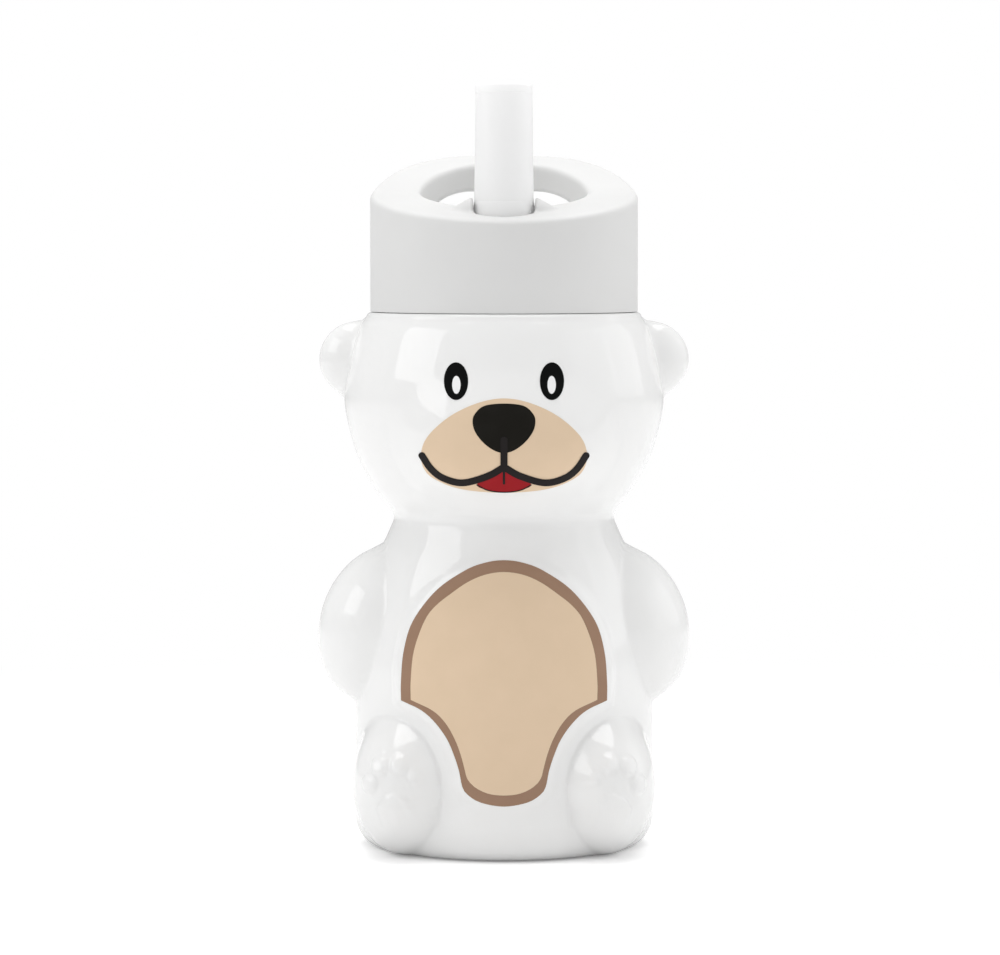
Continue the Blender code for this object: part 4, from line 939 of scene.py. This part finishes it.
noseHalf = ((0.0, 0.0088), (0.0042, 0.0083), (0.0062, 0.0066), (0.0067, 0.005), (0.0062, 0.0029),
            (0.0045, 0.0006), (0.0022, -0.0011), (0.0, -0.0017))
tongueHalf = ((0.0, -0.0051), (0.003, -0.0062), (0.0058, -0.0087), (0.0034, -0.0099), (0.0, -0.0103))
smile = ((0.0, -0.0047), (0.0034, -0.0067), (0.0088, -0.0083), (0.013, -0.0074), (0.0156, -0.0055),
         (0.0176, -0.0026))
tongueMiddle = ((0.0, -0.0055), (0.0, -0.0083))


def raised(points):
    return [(x, z + faceLevel) for x, z in points]


def oval(x, z, halfWidth, halfHeight, steps=48):
    return arc((x, z), (halfWidth, halfHeight), 0, -360, steps)[:-1]


def stroke(points, width):
    line = np.array(points)
    along = np.gradient(line, axis=0)
    along /= np.linalg.norm(along, axis=1)[:, None]
    side = np.stack([-along[:, 1], along[:, 0]], axis=1) * width / 2
    left = [tuple(p) for p in line + side]
    right = [tuple(p) for p in (line - side)[::-1]]
    turnEnd = math.degrees(math.atan2(side[-1][1], side[-1][0]))
    turnStart = math.degrees(math.atan2(-side[0][1], -side[0][0]))
    end = arc(line[-1], (width / 2, width / 2), turnEnd, turnEnd - 180, 12)
    start = arc(line[0], (width / 2, width / 2), turnStart, turnStart - 180, 12)
    return left + end[1:-1] + right + start[1:-1]


def layInk(name, outline, lift, slot, finish, *nodes):
    # the flat shape is cut along a fine grid, wrapped on the body's skin and given its thickness
    piece = shapedSheet(name, outline)
    editAll(piece)
    bpy.ops.mesh.quads_convert_to_tris()
    points = np.array(outline)
    for axis, normal in ((0, (1.0, 0.0, 0.0)), (1, (0.0, 0.0, 1.0))):
        low, high = points[:, axis].min(), points[:, axis].max()
        for level in np.arange(low + ink["grid"] / 2, high, ink["grid"]):
            bpy.ops.mesh.select_all(action="SELECT")
            place = (level, 0.0, 0.0) if axis == 0 else (0.0, 0.0, level)
            bpy.ops.mesh.bisect(plane_co=place, plane_no=normal, use_fill=False, threshold=ink["weld"])
    bpy.ops.mesh.select_all(action="SELECT")
    bpy.ops.mesh.remove_doubles(threshold=ink["weld"])
    bpy.ops.transform.translate(value=(0.0, -ink["startDistance"], 0.0))
    endEdit()
    finishWith(piece, "SHRINKWRAP", target=bearBody, wrap_method="PROJECT", use_project_y=True,
               use_positive_direction=True, use_negative_direction=False, wrap_mode="ABOVE_SURFACE",
               offset=lift)
    editAll(piece)
    bpy.ops.mesh.normals_make_consistent(inside=False)
    endEdit()
    finishWith(piece, "SOLIDIFY", thickness=ink["thickness"], offset=0.0)
    dress(piece, "body", slot, finish, *nodes, sharp=50)


def printFace():
    black, white, red, tan = [finishes["print_" + colour] for colour in ("black", "white", "red", "tan")]
    fine, width = face["fine"], face["mouthWidth"]
    muzzle = raised(mirrored(curveThrough(muzzleHalf, face["broad"], level=True)))
    layInk("muzzle_print", muzzle, ink["base"], "print_tan", tan, "muzzle_patch", "chin_patch")
    nose = raised(mirrored(curveThrough(noseHalf, fine, level=True)))
    layInk("nose_print", nose, ink["over"], "print_black", darkInk, "nose")
    tongue = raised(mirrored(curveThrough(tongueHalf, fine, level=True)))
    layInk("tongue_print", tongue, ink["over"], "print_red", red, "tongue")
    line = stroke(raised(tongueMiddle), face["tongueLine"])
    layInk("tongue_line_print", line, ink["top"], "print_black", lineInk)
    rim = curveThrough(tongueHalf[2:], fine, level=True)
    rim = rim + [(-x, z) for x, z in rim[-2::-1]]
    edge = stroke(raised(rim), face["tongueEdge"])
    layInk("tongue_edge_print", edge, ink["top"], "print_black", lineInk)
    stem = curveThrough([(0.0, face["stemTop"]), (0.0, face["stemLow"])], fine)
    layInk("lip_line_print", stroke(raised(stem), width), ink["last"], "print_black", lineInk, "mouth")
    half = curveThrough(smile, face["middling"])
    whole = [(-x, z) for x, z in reversed(half[1:])] + half
    layInk("smile_print", stroke(raised(whole), width), ink["top"], "print_black", lineInk, "mouth")
    for side, where in ((-1, "left"), (1, "right")):
        eyePlace = (side * face["eyeX"], faceLevel + face["eyeRise"])
        eye = oval(*eyePlace, face["eyeWidth"], face["eyeHeight"])
        layInk(f"eye_{where}_print", eye, ink["base"], "print_black", black, f"eye_{where}")
        glintPlace = (side * face["glintX"], faceLevel + face["glintRise"])
        glint = oval(*glintPlace, face["glintWidth"], face["glintHeight"], 32)
        layInk(f"glint_{where}_print", glint, ink["over"], "print_white", white, f"eye_glint_{where}")


def printBelly():
    border, inside = cornered(belly, belly["spacing"]), cornered(patch, patch["spacing"])
    brown, tan = finishes["print_brown"], finishes["print_tan"]
    layInk("tummy_border_print", border, ink["base"], "print_brown", brown, "tummy_border")
    layInk("tummy_print", inside, ink["over"], "print_tan", tan, "tummy_patch")


printFace()
printBelly()
print("face and tummy are printed")
